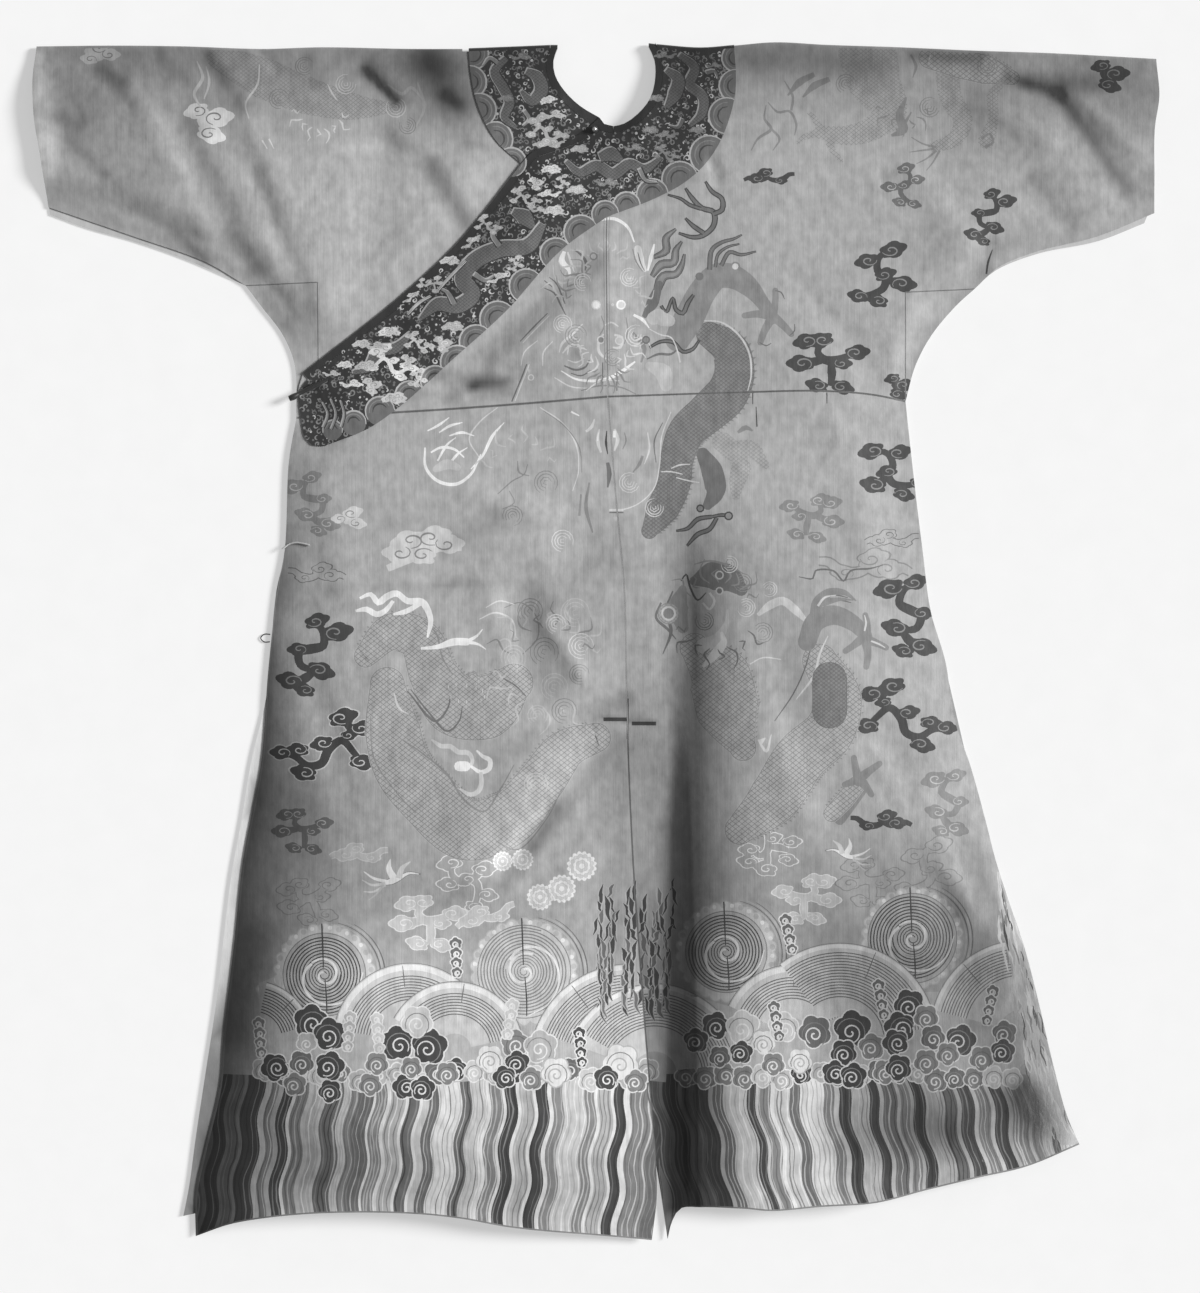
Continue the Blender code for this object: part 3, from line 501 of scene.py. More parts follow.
# Clouds: the strands of each shape, then its heads as x, y and radius, all from its own middle
CLOUD_SHAPES = {
    "long": (
        "-42 -12, -31 -1, -16 10, -2 -3, 4 -20, 20 -25, 35 -17, 50 -14; -16 10, -26 22, -12 36",
        "-36 27 9, -11 36 10, -22 17 6, 5 4 8, -41 -12 9, 32 -8 8, 51 -14 8, 21 -34 9",
    ),
    "tall": (
        "0 34, 9 21, 9 7, -5 3, -17 0, -16 -14, 0 -21; 0 -21, -13 -30, -24 -33",
        "0 33 8, 22 21 10, -17 3 7, 4 -20 9, -25 -32 9, -10 -42 7",
    ),
    "tree": (
        "-9 28, -15 13, -6 4, 10 5, 30 13; -6 4, -33 0; 0 4, 2 -14, 0 -27",
        "-27 27 9, -9 28 9, -33 0 10, 30 13 9, 13 0 7, -14 -27 8, 13 -28 8",
    ),
    "hook": (
        "9 33, -6 24, -8 8, 2 -2, 0 -14, -14 -22, -30 -25; 2 -4, 22 -9",
        "9 33 10, -19 20 9, 0 2 8, 22 -9 10, -30 -25 8, -6 -31 8",
    ),
    "heap": ("-36 -8, -16 -2, 8 -4, 38 -9", "-22 -1 9, -9 9 10, 9 11 10, 22 2 9, 2 -5 9"),
    "wide": (
        "-44 9, -34 8, -25 1, -10 -3, 4 2, 8 10; 4 2, 16 -2, 24 0, 40 2, 48 -2",
        "8 11 9, 24 1 9, -17 -3 7",
    ),
    "small": (
        "0 12, -4 2, 2 -8",
        "-6 12 7, 9 2 9, 0 -12 8",
    ),
}
# The strands of a cloud, its rim and its heads; a strand is thinner at its ends, by this share
STRAND, RIM, HEAD, STRAND_END = 11.0, 3.0, 1.34, 0.6
# A head's outline as shares of its radius: least reach, lobes and tip, then how long and wide it is
HEAD_LEAST, HEAD_LOBES, HEAD_TIP, HEAD_LONG, HEAD_WIDE, HEAD_TILT = 0.78, 0.22, 0.16, 1.34, 0.78, 0.3
HEAD_POINTS, HEAD_WAVES = 28, 2.5
# The curl in a head: from and to radius and its widths as shares, its turns, and how long and wide it is
CURL_FROM, CURL_TO, CURL_WIDTHS = 0.08, 0.70, (0.08, 0.14, 0.06)
CURL_TURNS, CURL_LONG, CURL_WIDE, CURLED_FROM = 1.15, 1.25, 0.8, 2.5
CURLS = {"dark": "mid", "dim": "soft", "mid": "soft", "soft": "pale", "light": "mid", "pale": "mid"}
# Where each lies: its shape, middle, thread, size, 1 or -1 where it is mirrored, turn in degrees, rim
CLOUDS = rows("""
wide 209 554 dark 0.66 -1
hook 368 545 dim 0.62 -1 20
tall 473 511 dark 0.75
hook 345 437 dark 0.95
tree 281 333 dark
small 362 306 dark 0.8
hook 352 202 dark 0.95 -1 -20
tree 256 148 mid 0.8 -1 10
wide 357 120 ground 0.7 -1 0 dim
tall 372 35 dark 1.1 -1 15
long 368 -90 dark
wide 340 -219 dark 0.8
tall 420 -190 mid 0.9 -1 20
small 614 679 dark
tall -343 168 mid 0.85 -1
small -296 146 light 0.8 1 60
heap -207 110 light 1.25 -1 -15
wide -337 78 ground 0.75 1 0 dim
tall -337 -13 dark 1.1
long -322 -127 dark 1.02 -1 8 light
tree -350 -228 dim 0.75
wide -282 -257 soft 0.75 -1 0 light
hook -152 -286 ground 0.85 1 60 pale
tree -199 -338 light 0.9 1 0 pale
wide -130 -331 light 0.8 -1 -15 pale
tree 209 -247 ground 0.8 1 80 pale
tree 250 -310 light 0.8 -1 0 pale
wide 320 85 ground 1.2 1 0 mid
hook 400 -275 ground 0.9 1 0 mid
tree 330 -290 ground 0.8 1 0 mid
tree -340 -310 ground 0.8 1 20 mid
small -467 623 pale 1.25 1 10
small -596 704 light 0.9 1 90
""")

# Dragons: bodies, legs and manes, each line a thread, a route and the widths along it
DRAGONS = strokes("""
scales_dark: 136 367, 160 350, 166 324, 158 298, 134 274, 108 250, 97 218, 93 187, 76 152, \
64 132: 30 44 47 50 46 42 38 38 38 18
dim: 128 224, 139 204, 143 178, 134 163: 16 26 26 12
light: 90 275, 79 246, 76 210, 70 184, 53 166, 34 158, 16 157: 1 1.5 1.5 1.5 1.3 1.5 2.4
light: 128 384, 150 382, 172 366, 184 344, 186 318, 182 300: 1 2 2.4 2.4 2 1
mid: 98 362, 113 390, 128 419, 145 437, 163 437, 183 425, 200 405, 212 387: 30 36 34 32 30 25 17 15
mid: 212 390, 215 408, 215 420: 11 8 7.5
mid: 208 390, 194 392, 178 390: 11 9 7.2
mid: 210 386, 202 372, 197 358: 11 9 7.5
mid: 214 388, 227 376, 234 368: 11 9 7.5
dim: 215 420, 222 418, 226 410: 1 1.6 1
dim: 196 358, 204 354, 210 357: 1 1.6 1
dim: 232 366, 238 372, 238 380: 1 1.6 1
flame: 136 445, 139 469, 151 478, 165 482, 175 487: 5 5 4 3 1
flame: 143 448, 146 463, 157 472, 172 476: 3 3 2.4 1
flame: 150 450, 160 466, 174 463, 192 467: 4 4 3 1
flame: 69 460, 84 468, 84 483, 96 494: 4 9 8 2
flame: 67 437, 78 451, 93 454, 96 469, 103 479: 5 10 9 8 2
flame: 71 414, 81 437, 96 440, 103 451, 106 464: 7 11 9 7 2
dim: 57 388, 67 404, 76 428: 5 15 8
horn: 99 489, 116 484, 128 486, 141 498, 141 514, 127 519, 116 530, 107 543: 2 4.5 5.5 6 6 5.5 5 2
horn: 141 512, 151 517, 151 530, 139 539, 131 551: 5 6 5 4.5 2
horn: 107 507, 116 498, 129 489: 2 5 5
horn: 86 535, 102 530, 112 523, 126 518: 1.5 3 4 4
horn: 78 402, 84 394, 92 411, 96 397, 104 393, 110 405, 117 415: 3 4 3 4 5 5 3
horn: 64 352, 78 359, 93 358, 104 347, 116 350, 124 361: 2.5 3.5 4 4 4 2
dim: 61 338, 75 344, 90 344, 100 352: 1.5 3 3 1.5
horn: 139 149, 122 146, 110 135, 96 132: 4 5 4 1.5
horn: 145 148, 136 134, 122 128, 109 114: 4 5 5 2
horn: 139 149, 150 151, 160 150: 3 3.5 4
soft: 69 387, 75 390: 16 17
soft: 80 386, 88 384: 17 14
faint: 151 239, 165 228, 186 230, 203 211: 24 25 20 10
faint: 174 207, 169 190, 168 174: 24 20 10
mid: 170 250, 180 256, 188 252: 3 7 2
light: 90 207, 100 211, 113 212: 1.2 2 1
light: 78 203, 90 203, 104 200: 1.2 1.8 1
light: 96 196, 112 192, 124 190: 1 1.6 1
light: 62 250, 64 230, 58 212: 1 2.6 1
mid: 56 222, 52 212, 44 202: 3 4 1
dim: 80 262, 70 240, 72 214: 1 1.6 1
pale: 3 504, 22 506, 38 496, 46 478: 2 4 3.4 1.4
light: 50 470, 53 454, 60 443: 9 12 3
pale: 70 476, 66 460, 62 444: 2 5 2
mid: 44 470, 48 455, 56 443: 1 2 1
dim: 50 466, 54 452, 58 444: 0.8 1.6 0.8
pale: -38 467, -41 455, -33 446, -31 436: 4 8 5 1.5
light: -34 466, -30 454, -26 442: 2 3 1
dim: -26 469, -18 463, -12 454, -13 444: 2 3 4 1.4
dim: -56 436, -47 428, -41 414, -37 404: 1 2 2 1
dim: -62 423, -50 417, -42 402, -36 390: 1 2.2 2.2 1
dim: -62 432, -52 424: 1.4 1
dim: -58 393, -73 378, -91 359: 1 2 1
light: -56 390, -71 375, -88 357: 0.8 1.4 0.8
dim: -83 332, -92 309, -101 287: 1.6 1.8 1.6
light: -80 332, -89 309, -97 288: 1.2 1.4 1.2
dim: -38 330, -24 325, -12 329, -8 337: 1.5 2.6 2.6 1.2
dim: -30 321, -18 318, -8 323: 1 1.8 1
light: -34 337, -24 334, -14 339: 1 2 1
light: -40 345, -33 353, -22 356, -18 346: 1.5 3 3 1.5
light: -16 380, -28 368, -41 356, -44 346: 1.5 3 3.4 1.4
light: -64 330, -63 346, -52 359: 1 2 1
light: -90 330, -86 346, -70 360: 1 1.6 1
pale: -42 324, -24 314, 0 312, 18 316, 32 324, 47 335: 1.2 2.4 3.4 4 4.4 2
light: -50 316, -30 305, -10 303: 1 1.8 1
light: 9 368, 3 358, 4 346, 12 338: 2 3.6 3.6 2
light: 22 367, 31 364, 29 352, 20 352: 2.4 3.6 3.6 2
light: 10 378, 18 382, 27 377: 1.2 2.2 1.2
mid: 6 390, 10 378, 4 366: 1 2 1
mid: 36 388, 38 372, 34 356: 1 2 1
pale: 45 391, 56 385, 64 375: 3 4 1
light: 64 374, 78 367, 90 364, 97 350, 101 334: 1 1.6 1.4 1.6 2
mid: 44 370, 58 350, 54 334: 3 6 2
soft: 64 330, 80 322, 84 306: 10 22 14
dim: 8 334, 8 302: 1.4 1.4
dim: 25 322, 25 300: 1.4 1.4
mid: 14 332, 15 304: 1.2 1.2
light: -67 280, -41 262, -24 236, -21 204, -28 180: 1 1.8 2 1.4 0.8
mid: -63 276, -38 258, -20 232, -17 202: 0.8 1.2 1.2 0.8
light: -12 251, -5 257, -2 266: 3 4 1.4
pale: -30 275, -20 270: 2.4 1.4
light: -140 220, -152 242, -140 262, -118 280: 1.2 1.8 1.8 1
pale: -150 206, -136 222, -124 246, -110 262: 1.4 3.2 4 1
mid: -94 216, -92 202, -80 198: 1 2.4 1.2
mid: -118 176, -100 192, -86 200, -82 212: 1 1.6 1.6 1
mid: -104 180, -98 166, -112 158: 1 1.4 1
pale: -205 232, -204 208, -190 192, -168 188, -150 200, -138 224: 2 3.5 4 4 3 1.5
pale: -198 226, -186 232, -170 230, -158 220: 2 3.4 3 1.5
pale: -202 252, -190 258, -176 268: 1.5 3.5 1
pale: -188 250, -175 258, -160 262: 1.5 3.5 1
pale: -176 246, -161 250, -146 246: 1.5 3.5 1
pale: -190 216, -178 236, -168 244: 2 3.2 1
pale: -180 206, -166 224, -154 232: 2 3.2 1
soft: -192 206, -178 212, -166 208: 8 13 8
light: 4 254, 2 240, 6 226: 1.6 4.4 2.4
light: 22 254, 26 242, 22 228: 2.6 5 2
pale: 3 250, 2 240: 1.4 2
pale: 22 252, 22 244: 3 3
dark: 13 252, 12 238, 14 224: 1 3 1
mid: 34 250, 36 240, 32 230: 1 2 1
dim: 14 214, 16 200, 14 184: 4 6 2
mid: -8 190, -12 160, -4 130: 2 5 2
mid: -18 176, -20 150: 2 3
scales: -276 -18, -246 10, -212 2, -194 -42, -168 -76, -130 -76, -98 -50: 26 44 50 56 74 80 44
scales: -250 -52, -244 -105, -232 -150, -202 -187, -154 -226, -104 -212, -67 -170, -36 -130, \
0 -116: 40 64 68 70 72 66 56 50 34
mid: -208 24, -192 10, -184 -20, -172 -40: 1.2 2 2 1
dim: -222 -58, -200 -86, -178 -108, -164 -96, -160 -78: 1.2 2 2.6 2 1
mid: -232 -118, -206 -136, -178 -160, -158 -190, -134 -204, -116 -180, -98 -148: 1.2 2 2.6 2.6 2.2 2 1
mid: -270 -90, -266 -140, -240 -180, -216 -206: 1 1.5 1.5 1
mid: -120 -240, -94 -250, -60 -214, -40 -176: 1 1.5 1.5 1
dim: -112 -44, -96 -54, -84 -66: 1 2 1
light: -242 -62, -236 -80, -224 -88: 1.2 3 1
mid: -110 40, -90 46, -72 30, -70 4, -88 -16: 1.2 1.6 1.6 1.6 1
light: -140 26, -120 34, -100 24, -96 4: 1.2 2.2 2.2 1
light: -132 40, -116 48, -98 44: 1 2 1
scales: 118 -8, 146 -40, 160 -90, 176 -128: 34 74 74 30
scales: 268 -24, 290 -66, 280 -107, 245 -140, 212 -190, 172 -226: 40 54 60 62 60 34
mid: 262 30, 266 46, 280 58, 298 58, 312 48: 12 14 11 7 1.5
dim: 264 36, 272 50, 286 55, 302 52: 1 1.8 1.8 1
dim: 270 34, 277 45, 290 49, 306 46: 1 1.8 1.8 1
dim: 258 -6, 250 -34, 236 -64, 214 -96: 1 1.6 1.6 1
light: 278 6, 268 -16, 262 -40, 240 -70: 1.2 3 3 1
mid: 292 -214, 306 -196, 322 -176: 13 12 9
soft: 292 -210, 305 -193, 318 -178: 1.2 1.5 1
dim: 78 46, 72 28, 86 14, 96 2: 2.5 3 3.5 1
dim: 92 60, 84 36, 90 12, 80 -16: 1.5 4 4 1
mid: 104 62, 98 40, 104 16: 10 26 14
light: 136 58, 142 48, 136 38, 128 46: 2.5 3 3 2
soft: 128 -6, 144 2, 156 20, 158 38: 18 12 6 2
light: 184 -28, 200 -20, 222 -22: 1.2 1.8 1.2
light: 194 -118, 204 -132, 210 -112: 2 4 1.2
faint: 326 706, 334 672, 352 636, 330 614, 300 606, 268 610: 70 66 44 30 24 16
faint: 272 608, 262 626, 254 634: 9 8 4
faint: 268 610, 250 604, 240 596: 9 8 4
faint: 276 606, 284 588, 296 574: 9 8 4
mid: 372 652, 364 630, 368 612, 354 606: 2 9 12 3
mid: 378 634, 368 618, 360 612: 1.5 4 3
mid: 230 654, 244 670, 262 680: 2 9 6
mid: 248 652, 262 666, 280 674: 2 9 6
mid: 206 646, 218 634, 232 635, 240 620, 238 606: 1 3 3 3 1
mid: 204 643, 202 626, 210 614, 194 602, 186 588: 1 3 4 3 1
mid: 210 614, 220 602, 212 588: 3 3 1
mid: 226 672, 236 652, 234 636: 1 3 3
faint: 420 690, 426 650, 440 624, 430 602, 404 592: 26 28 24 20 12
mid: 408 592, 392 596, 378 604: 3 2 1
mid: 406 590, 390 588, 376 586: 3 2 1
mid: 408 588, 396 578, 384 572: 3 2 1
mid: 412 588, 404 574, 396 564: 3 2 1
scales: 400 700, 437 692, 467 686, 500 676: 24 32 34 16
faint: 468 600, 476 625, 476 655, 490 672: 20 12 14 6
mid: 462 602, 472 608, 476 598, 466 592: 3 3 3 3
mid: 378 704, 384 690, 380 676: 2 4 1
faint: -452 700, -400 676, -340 652, -284 640, -240 640: 30 50 46 34 10
light: -479 696, -472 676, -482 656, -474 640: 1.2 4 4 2
light: -468 690, -464 670, -470 650: 1 3 1.5
light: -404 692, -406 668, -420 644, -416 626: 1.2 2.4 2.4 1
light: -400 600, -394 590: 2 1
light: -392 602, -386 590: 2 1
light: -322 668, -316 656, -310 648: 1 2.4 1
soft: -250 668, -232 656, -222 664, -208 650: 1.5 4 4 1.5
soft: -214 670, -206 640, -216 616: 1.5 4 1.5
pale: -283 51, -270 56, -261 46, -251 53, -239 57, -226 48, -209 47, -202 38, -198 24, \
-202 4: 3 6 8 8 7 8 8.5 7 6 2
pale: -288 36, -275 38, -263 32, -253 36, -243 48: 3 7 7 6 4
pale: -243 32, -229 35, -219 40, -209 46: 2.5 6 6 5
pale: -210 -9, -190 -7, -170 -1, -155 -1: 3 5 9 9
pale: -155 -1, -143 6, -136 14: 5 3 1
pale: -155 -1, -141 -4, -132 -10: 5 3 1
light: -197 -118, -185 -126, -175 -126, -165 -133, -153 -134, -148 -143, -150 -150: 2 5 6 6 6 5 4
pale: -143 -131, -136 -138, -127 -143, -128 -153, -138 -157, -150 -150: 2 5 6 6 5 3
light: -138 -157, -137 -170, -141 -180, -150 -184, -163 -177: 4 6 6 5 2
pale: -164 -150, -156 -150: 12 12
dim: -226 -60, -192 -96, -177 -79, -175 -69: 1.5 3 3 1.5
pale: -177 -55: 4
pale: -168 -53: 4
pale: -155 -53: 4
pale: -144 -56: 4
pale: -136 -60: 4
pale: -134 -67: 4
pale: -138 -72: 4
pale: -155 -73: 4
pale: -165 -72: 4
pale: -174 -67: 4
dim: 118 72, 140 78, 160 74, 174 62: 12 34 34 16
light: 150 11, 153 -1, 145 -13, 136 -23, 128 -31: 3 9 12 9 3
light: 194 31, 209 43, 224 48, 238 38, 253 23: 4 10 10 10 4
mid: 263 38, 268 50, 280 57, 295 56: 12 9 5 1
mid: 273 46, 292 50, 309 49: 9 5 1
light: 266 42, 274 52, 288 55: 3 2.4 1
mid: 253 -1, 263 23, 285 31, 309 21, 324 6: 22 24 24 20 15
mid: 324 6, 325 20, 323 31: 12 9 7.2
mid: 324 2, 340 -4, 348 -8: 12 9 7.2
mid: 324 0, 326 -18, 324 -31: 12 9 7.2
mid: 318 2, 308 -6, 299 -12: 11 8 7.2
light: 322 12, 324 22, 322 31: 2 2.4 1
light: 330 0, 340 -4, 347 -8: 2 2.4 1
scales_dark: 280 -46, 280 -84: 40 40
light: 197 -121, 203 -116: 7 1
scales: 282 -207, 298 -190, 314 -170: 18 20 18
mid: 314 -168, 311 -152, 309 -140: 12 9 7.2
mid: 318 -163, 330 -154, 340 -147: 12 9 7.2
mid: 312 -166, 304 -170, 298 -172: 11 8 7.2
mid: 320 -170, 326 -178, 330 -184: 11 8 7.2
dim: 243 77, 260 75, 263 84, 285 84, 297 72, 305 84, 329 87, 344 91: 1 2.2 2.2 2.2 2.2 2.2 2.2 1
dark: 188 298, 188 284: 1.4 1
dark: 192 281, 193 257: 1 1.6
dark: 277 298, 277 285: 1.4 1
dark: 476 470, 471 455, 469 441: 1 2.6 2
dark: 9 -94, 38 -94: 4.5 4.5
dark: 43 -99, 72 -99: 4.5 4.5
dark: 38 -69, 38 -118: 2.4 2.4
light: 16 157, 33 157: 2.4 2.4
dim: 16 154, 33 154: 1.6 1.6
dark: 102 72, 108 80, 113 64, 122 49, 132 58: 1.5 2.4 2.6 2.4 1
mid: 118 92, 136 96, 160 90, 178 80: 1 2.6 2.6 1
mid: -18 300, 4 306, 30 304, 48 296: 1 2 2 1
light: -12 300, 6 312, 28 312: 1 2.4 1
""")
# Threads of a part's layers below its own, and how much wider each is; a horn or flame has only these
EDGES_OF = {
    "scales": (("soft", 3.0), ("mid", 2.0)),
    "scales_dark": (("dim", 1.6),),
    "horn": (("dark", 1.2), ("dim", -1.6)),
    "flame": (("dark", 1.2), ("dim", -0.4), ("mid", -4.5)),
}
SPINED, SPINE, SPINE_PITCH = ("scales", "scales_dark"), 4.5, 5.0
ROUNDED_FROM = 7  # a broader stroke has round ends
# Rounded marks: thread, place, radius, width of the ring, thread inside
RINGS = rows("""
light 0 403 5.8 1.6 pale
pale 30 403 6 2 light
light 20 403 1.6 0.6 soft
light 6 361 5 1.6 mid
light 28 360 5.4 1.6 soft
mid -3 461 5 1.8 soft
dim 60 361 5 1.8 mid
dark 159 150 5.5 1.8 mid
dark 125 159 5 1.8 mid
dim 124 437 5 4 dim
mid 167 449 6 2.2 light
light -78 316 4 1.4 ground
mid 87 33 13 1 faint
light 87 33 9 2.4 mid
soft 148 79 5.5 1.8 dim
soft 148 60 5 1.8 dim
""")
# Manes: middle, from and to radius, from and to in degrees, strands, thread
MANES = rows("""
14 398 54 84 112 168 9 soft
14 398 46 74 116 160 7 mid
14 398 40 60 8 50 5 soft
14 330 12 34 200 340 9 mid
14 372 34 56 196 250 6 light
14 372 34 56 290 344 6 light
14 452 16 34 20 160 7 soft
-58 -30 48 84 20 150 9 soft
-58 -30 46 78 26 158 8 mid
-58 -30 50 84 190 300 8 soft
146 30 40 70 30 140 8 mid
146 30 40 66 200 330 8 dim
-90 204 34 56 20 170 8 soft
370 650 26 46 200 330 7 mid
-330 640 26 44 190 340 9 light
""")
# Curls of the manes: middle, radius, thread
WHORLS = rows("""
-99 -20 15 soft
-62 -13 17 mid
-79 36 15 mid
-25 34 17 soft
-18 -6 15 light
-50 -55 16 soft
-38 -84 15 mid
-70 -89 12 soft
-72 -172 14 soft
-20 -40 12 mid
-48 20 12 light
-24 366 13 mid
48 366 13 light
-16 430 10 light
40 436 11 light
-40 380 11 light
20 340 10 mid
160 92 10 light
176 70 11 mid
130 24 11 dim
180 40 11 light
208 62 9 light
200 10 12 mid
-240 640 12 light
-226 618 10 mid
-380 650 12 mid
-300 668 12 light
-350 690 11 mid
400 640 12 mid
300 668 12 mid
470 690 12 mid
-60 190 14 mid
-100 150 12 mid
-40 120 13 light
40 190 12 light
70 160 11 light
""")
WHORL_CURLS = (1.0, 0.74, 0.48, 0.22)  # the radii of its curls as shares
# Birds: middle, size and hand; then the strokes of one
BIRDS = rows("""
-240 -288 1 1
298 -258 0.8 -1
""")
BIRD = strokes("""
mid: -22 -4, 0 2, 16 10, 30 9: 3 9 5 2
pale: -22 -4, 0 2, 16 10, 28 9: 1.5 7 3.5 1
pale: -2 4, -8 16, -6 27: 9 7 1
light: 4 4, 8 16, 18 24: 8 6 1
pale: -10 0, -26 4, -38 12: 4 3 1
light: -12 -2, -28 -4, -40 2: 4 3 1
light: -12 -4, -26 -12, -38 -12: 3 2.5 1
soft: -14 -4, -24 -16, -32 -22: 3 2 1
""")
# Flowers: middle and radius; then the rows of petals as shares
FLOWERS = rows("""
-17 -270 18
-41 -297 17
-67 -307 16
-88 -262 13
-112 -264 12
""")
PETAL_ROWS, PETALS = (1.0, 0.80, 0.60, 0.40, 0.20), 16

# The collar's brocade: wave scallops along its outer edge as x, y, radius and turn in degrees
SCALLOPS = rows("""
-140 700 14 150
-143 668 15 165
-131 638 15 190
-112 606 15 205
-94 580 13 215
160 697 13 20
159 664 15 10
148 632 16 -15
128 588 17 -35
96 561 16 -60
66 544 14 -80
36 531 12 -85
8 520 12 -70
-24 497 15 -50
-54 471 14 -50
-90 432 15 -45
-124 392 16 -45
-150 365 15 -45
-172 341 15 -50
-198 320 13 -55
-228 302 13 -60
-262 284 13 -70
-292 270 11 -80
-316 262 9 -90
""")
SCALLOP_OUT, SCALLOP_SIZE = 9, 1.35
# Its small dragons and clouds, as those of the body; the widths of each thread grow by this share
COLLAR_WIDTHS = {"scales_fine": 1.35, "mid": 1.15, "dim": 1.15, "light": 1.0}
COLLAR_DRAGONS = strokes("""
scales_fine: -108 700, -122 684, -112 664, -104 646, -110 628, -96 616: 5 8 9 9 7 3
scales_fine: -84 684, -70 676, -66 660, -78 648, -90 660: 6 11 12 9 3
scales_fine: 100 704, 118 688, 112 668, 128 652, 126 632, 112 618: 5 8 9 9 8 3
scales_fine: 84 686, 98 674, 94 656, 84 640: 5 11 12 4
scales_fine: -36 576, -20 562, 0 570, 20 560, 40 572, 58 566, 78 580: 4 8 10 10 9 8 3
scales_fine: 4 580, 18 584, 30 576: 8 13 5
scales_fine: -64 500, -82 474, -116 470, -146 456, -160 434, -148 416, -166 402, -190 404, \
-212 386: 6 13 14 15 15 14 13 12 3
scales_fine: -100 516, -86 508, -76 496: 6 15 5
scales_fine: -222 370, -240 352, -262 348, -272 330, -292 322: 3 9 10 10 3
mid: -118 694, -128 700, -136 690: 4 3 1
mid: -86 636, -80 626, -88 618: 4 3 1
dim: 132 682, 142 684, 146 674: 4 3 1
dim: 104 626, 98 616, 88 618: 4 3 1
mid: -146 440, -132 432, -122 438: 5 4 1
mid: -116 474, -124 488, -114 496: 5 4 1
mid: -170 404, -178 418, -190 424: 5 4 1
mid: 52 566, 60 552, 74 550: 4 3 1
light: -192 418, -174 438, -156 456: 1 2 1
light: -226 392, -212 406, -198 414: 1 2 1
mid: -328 256, -322 272, -328 286: 1.5 1.5 1.5
mid: -318 254, -312 272, -318 290: 1.5 1.5 1.5
mid: -306 256, -302 272, -306 288: 1.5 1.5 1.5
""")
COLLAR_CLOUDS = rows("""
heap -58 648 pale 0.24 1 20
wide -52 630 light 0.34
long -60 613 soft 0.42
wide -56 596 soft 0.42 -1
heap -54 565 pale 0.30
wide -55 535 pale 0.32 -1
long -85 532 light 0.32
small -73 549 pale 0.4
hook -40 550 light 0.22
heap -51 515 light 0.32
wide -118 434 light 0.3 1 30
heap -172 376 soft 0.34
long -213 358 light 0.3
long -246 334 pale 0.5
heap -248 370 pale 0.34 -1
wide -266 353 light 0.3
heap -276 329 light 0.34
heap -302 331 pale 0.24
wide -294 307 pale 0.32
heap -242 290 light 0.39
hook -213 315 light 0.28
small -185 356 soft 0.5
heap 65 612 mid 0.25
wide 86 606 mid 0.3 -1
heap 72 650 mid 0.24
long 84 584 mid 0.26
heap -108 650 mid 0.23
wide -92 700 mid 0.3
wide 84 702 mid 0.3 -1
heap -24 540 soft 0.30
wide 12 548 mid 0.32
wide 44 590 mid 0.3
heap -20 590 soft 0.28
long -130 500 soft 0.28
wide -150 478 soft 0.3 1 40
heap -176 456 light 0.30
long -200 430 soft 0.28 -1 40
wide -222 412 light 0.26 1 40
hook -96 452 soft 0.24
wide -70 516 soft 0.24
heap 120 612 mid 0.23
wide 140 690 mid 0.22
heap -282 356 light 0.28
wide -318 320 light 0.24
small -270 306 light 0.5
small -226 336 light 0.4
""")
SPECKLE_SPACING, SPECKLE_THREADS = 6.2, ("mid", "mid", "dim", "mid", "light", "dim")
SPECKLE_DOTS = 0.4  # the share of the speckles that are dots

# Puckered lines along the seams: edge, thread and width
SEAM_LINES = rows("""
waist_left dim 2.8
waist_right dim 2.4
waist_side_left dim 2.4
centre_front mid 1.6
centre_skirt mid 1.8
vent_left dim 2
gusset_top_left mid 1.6
gusset_top_right mid 1.6
gusset_side_left mid 1.4
gusset_side_right mid 1.4
hem_left mid 4
hem_right mid 4
""")
PUCKER_BESIDE, PUCKER_ABOVE, PIPED_BELOW = 3, 320, 110
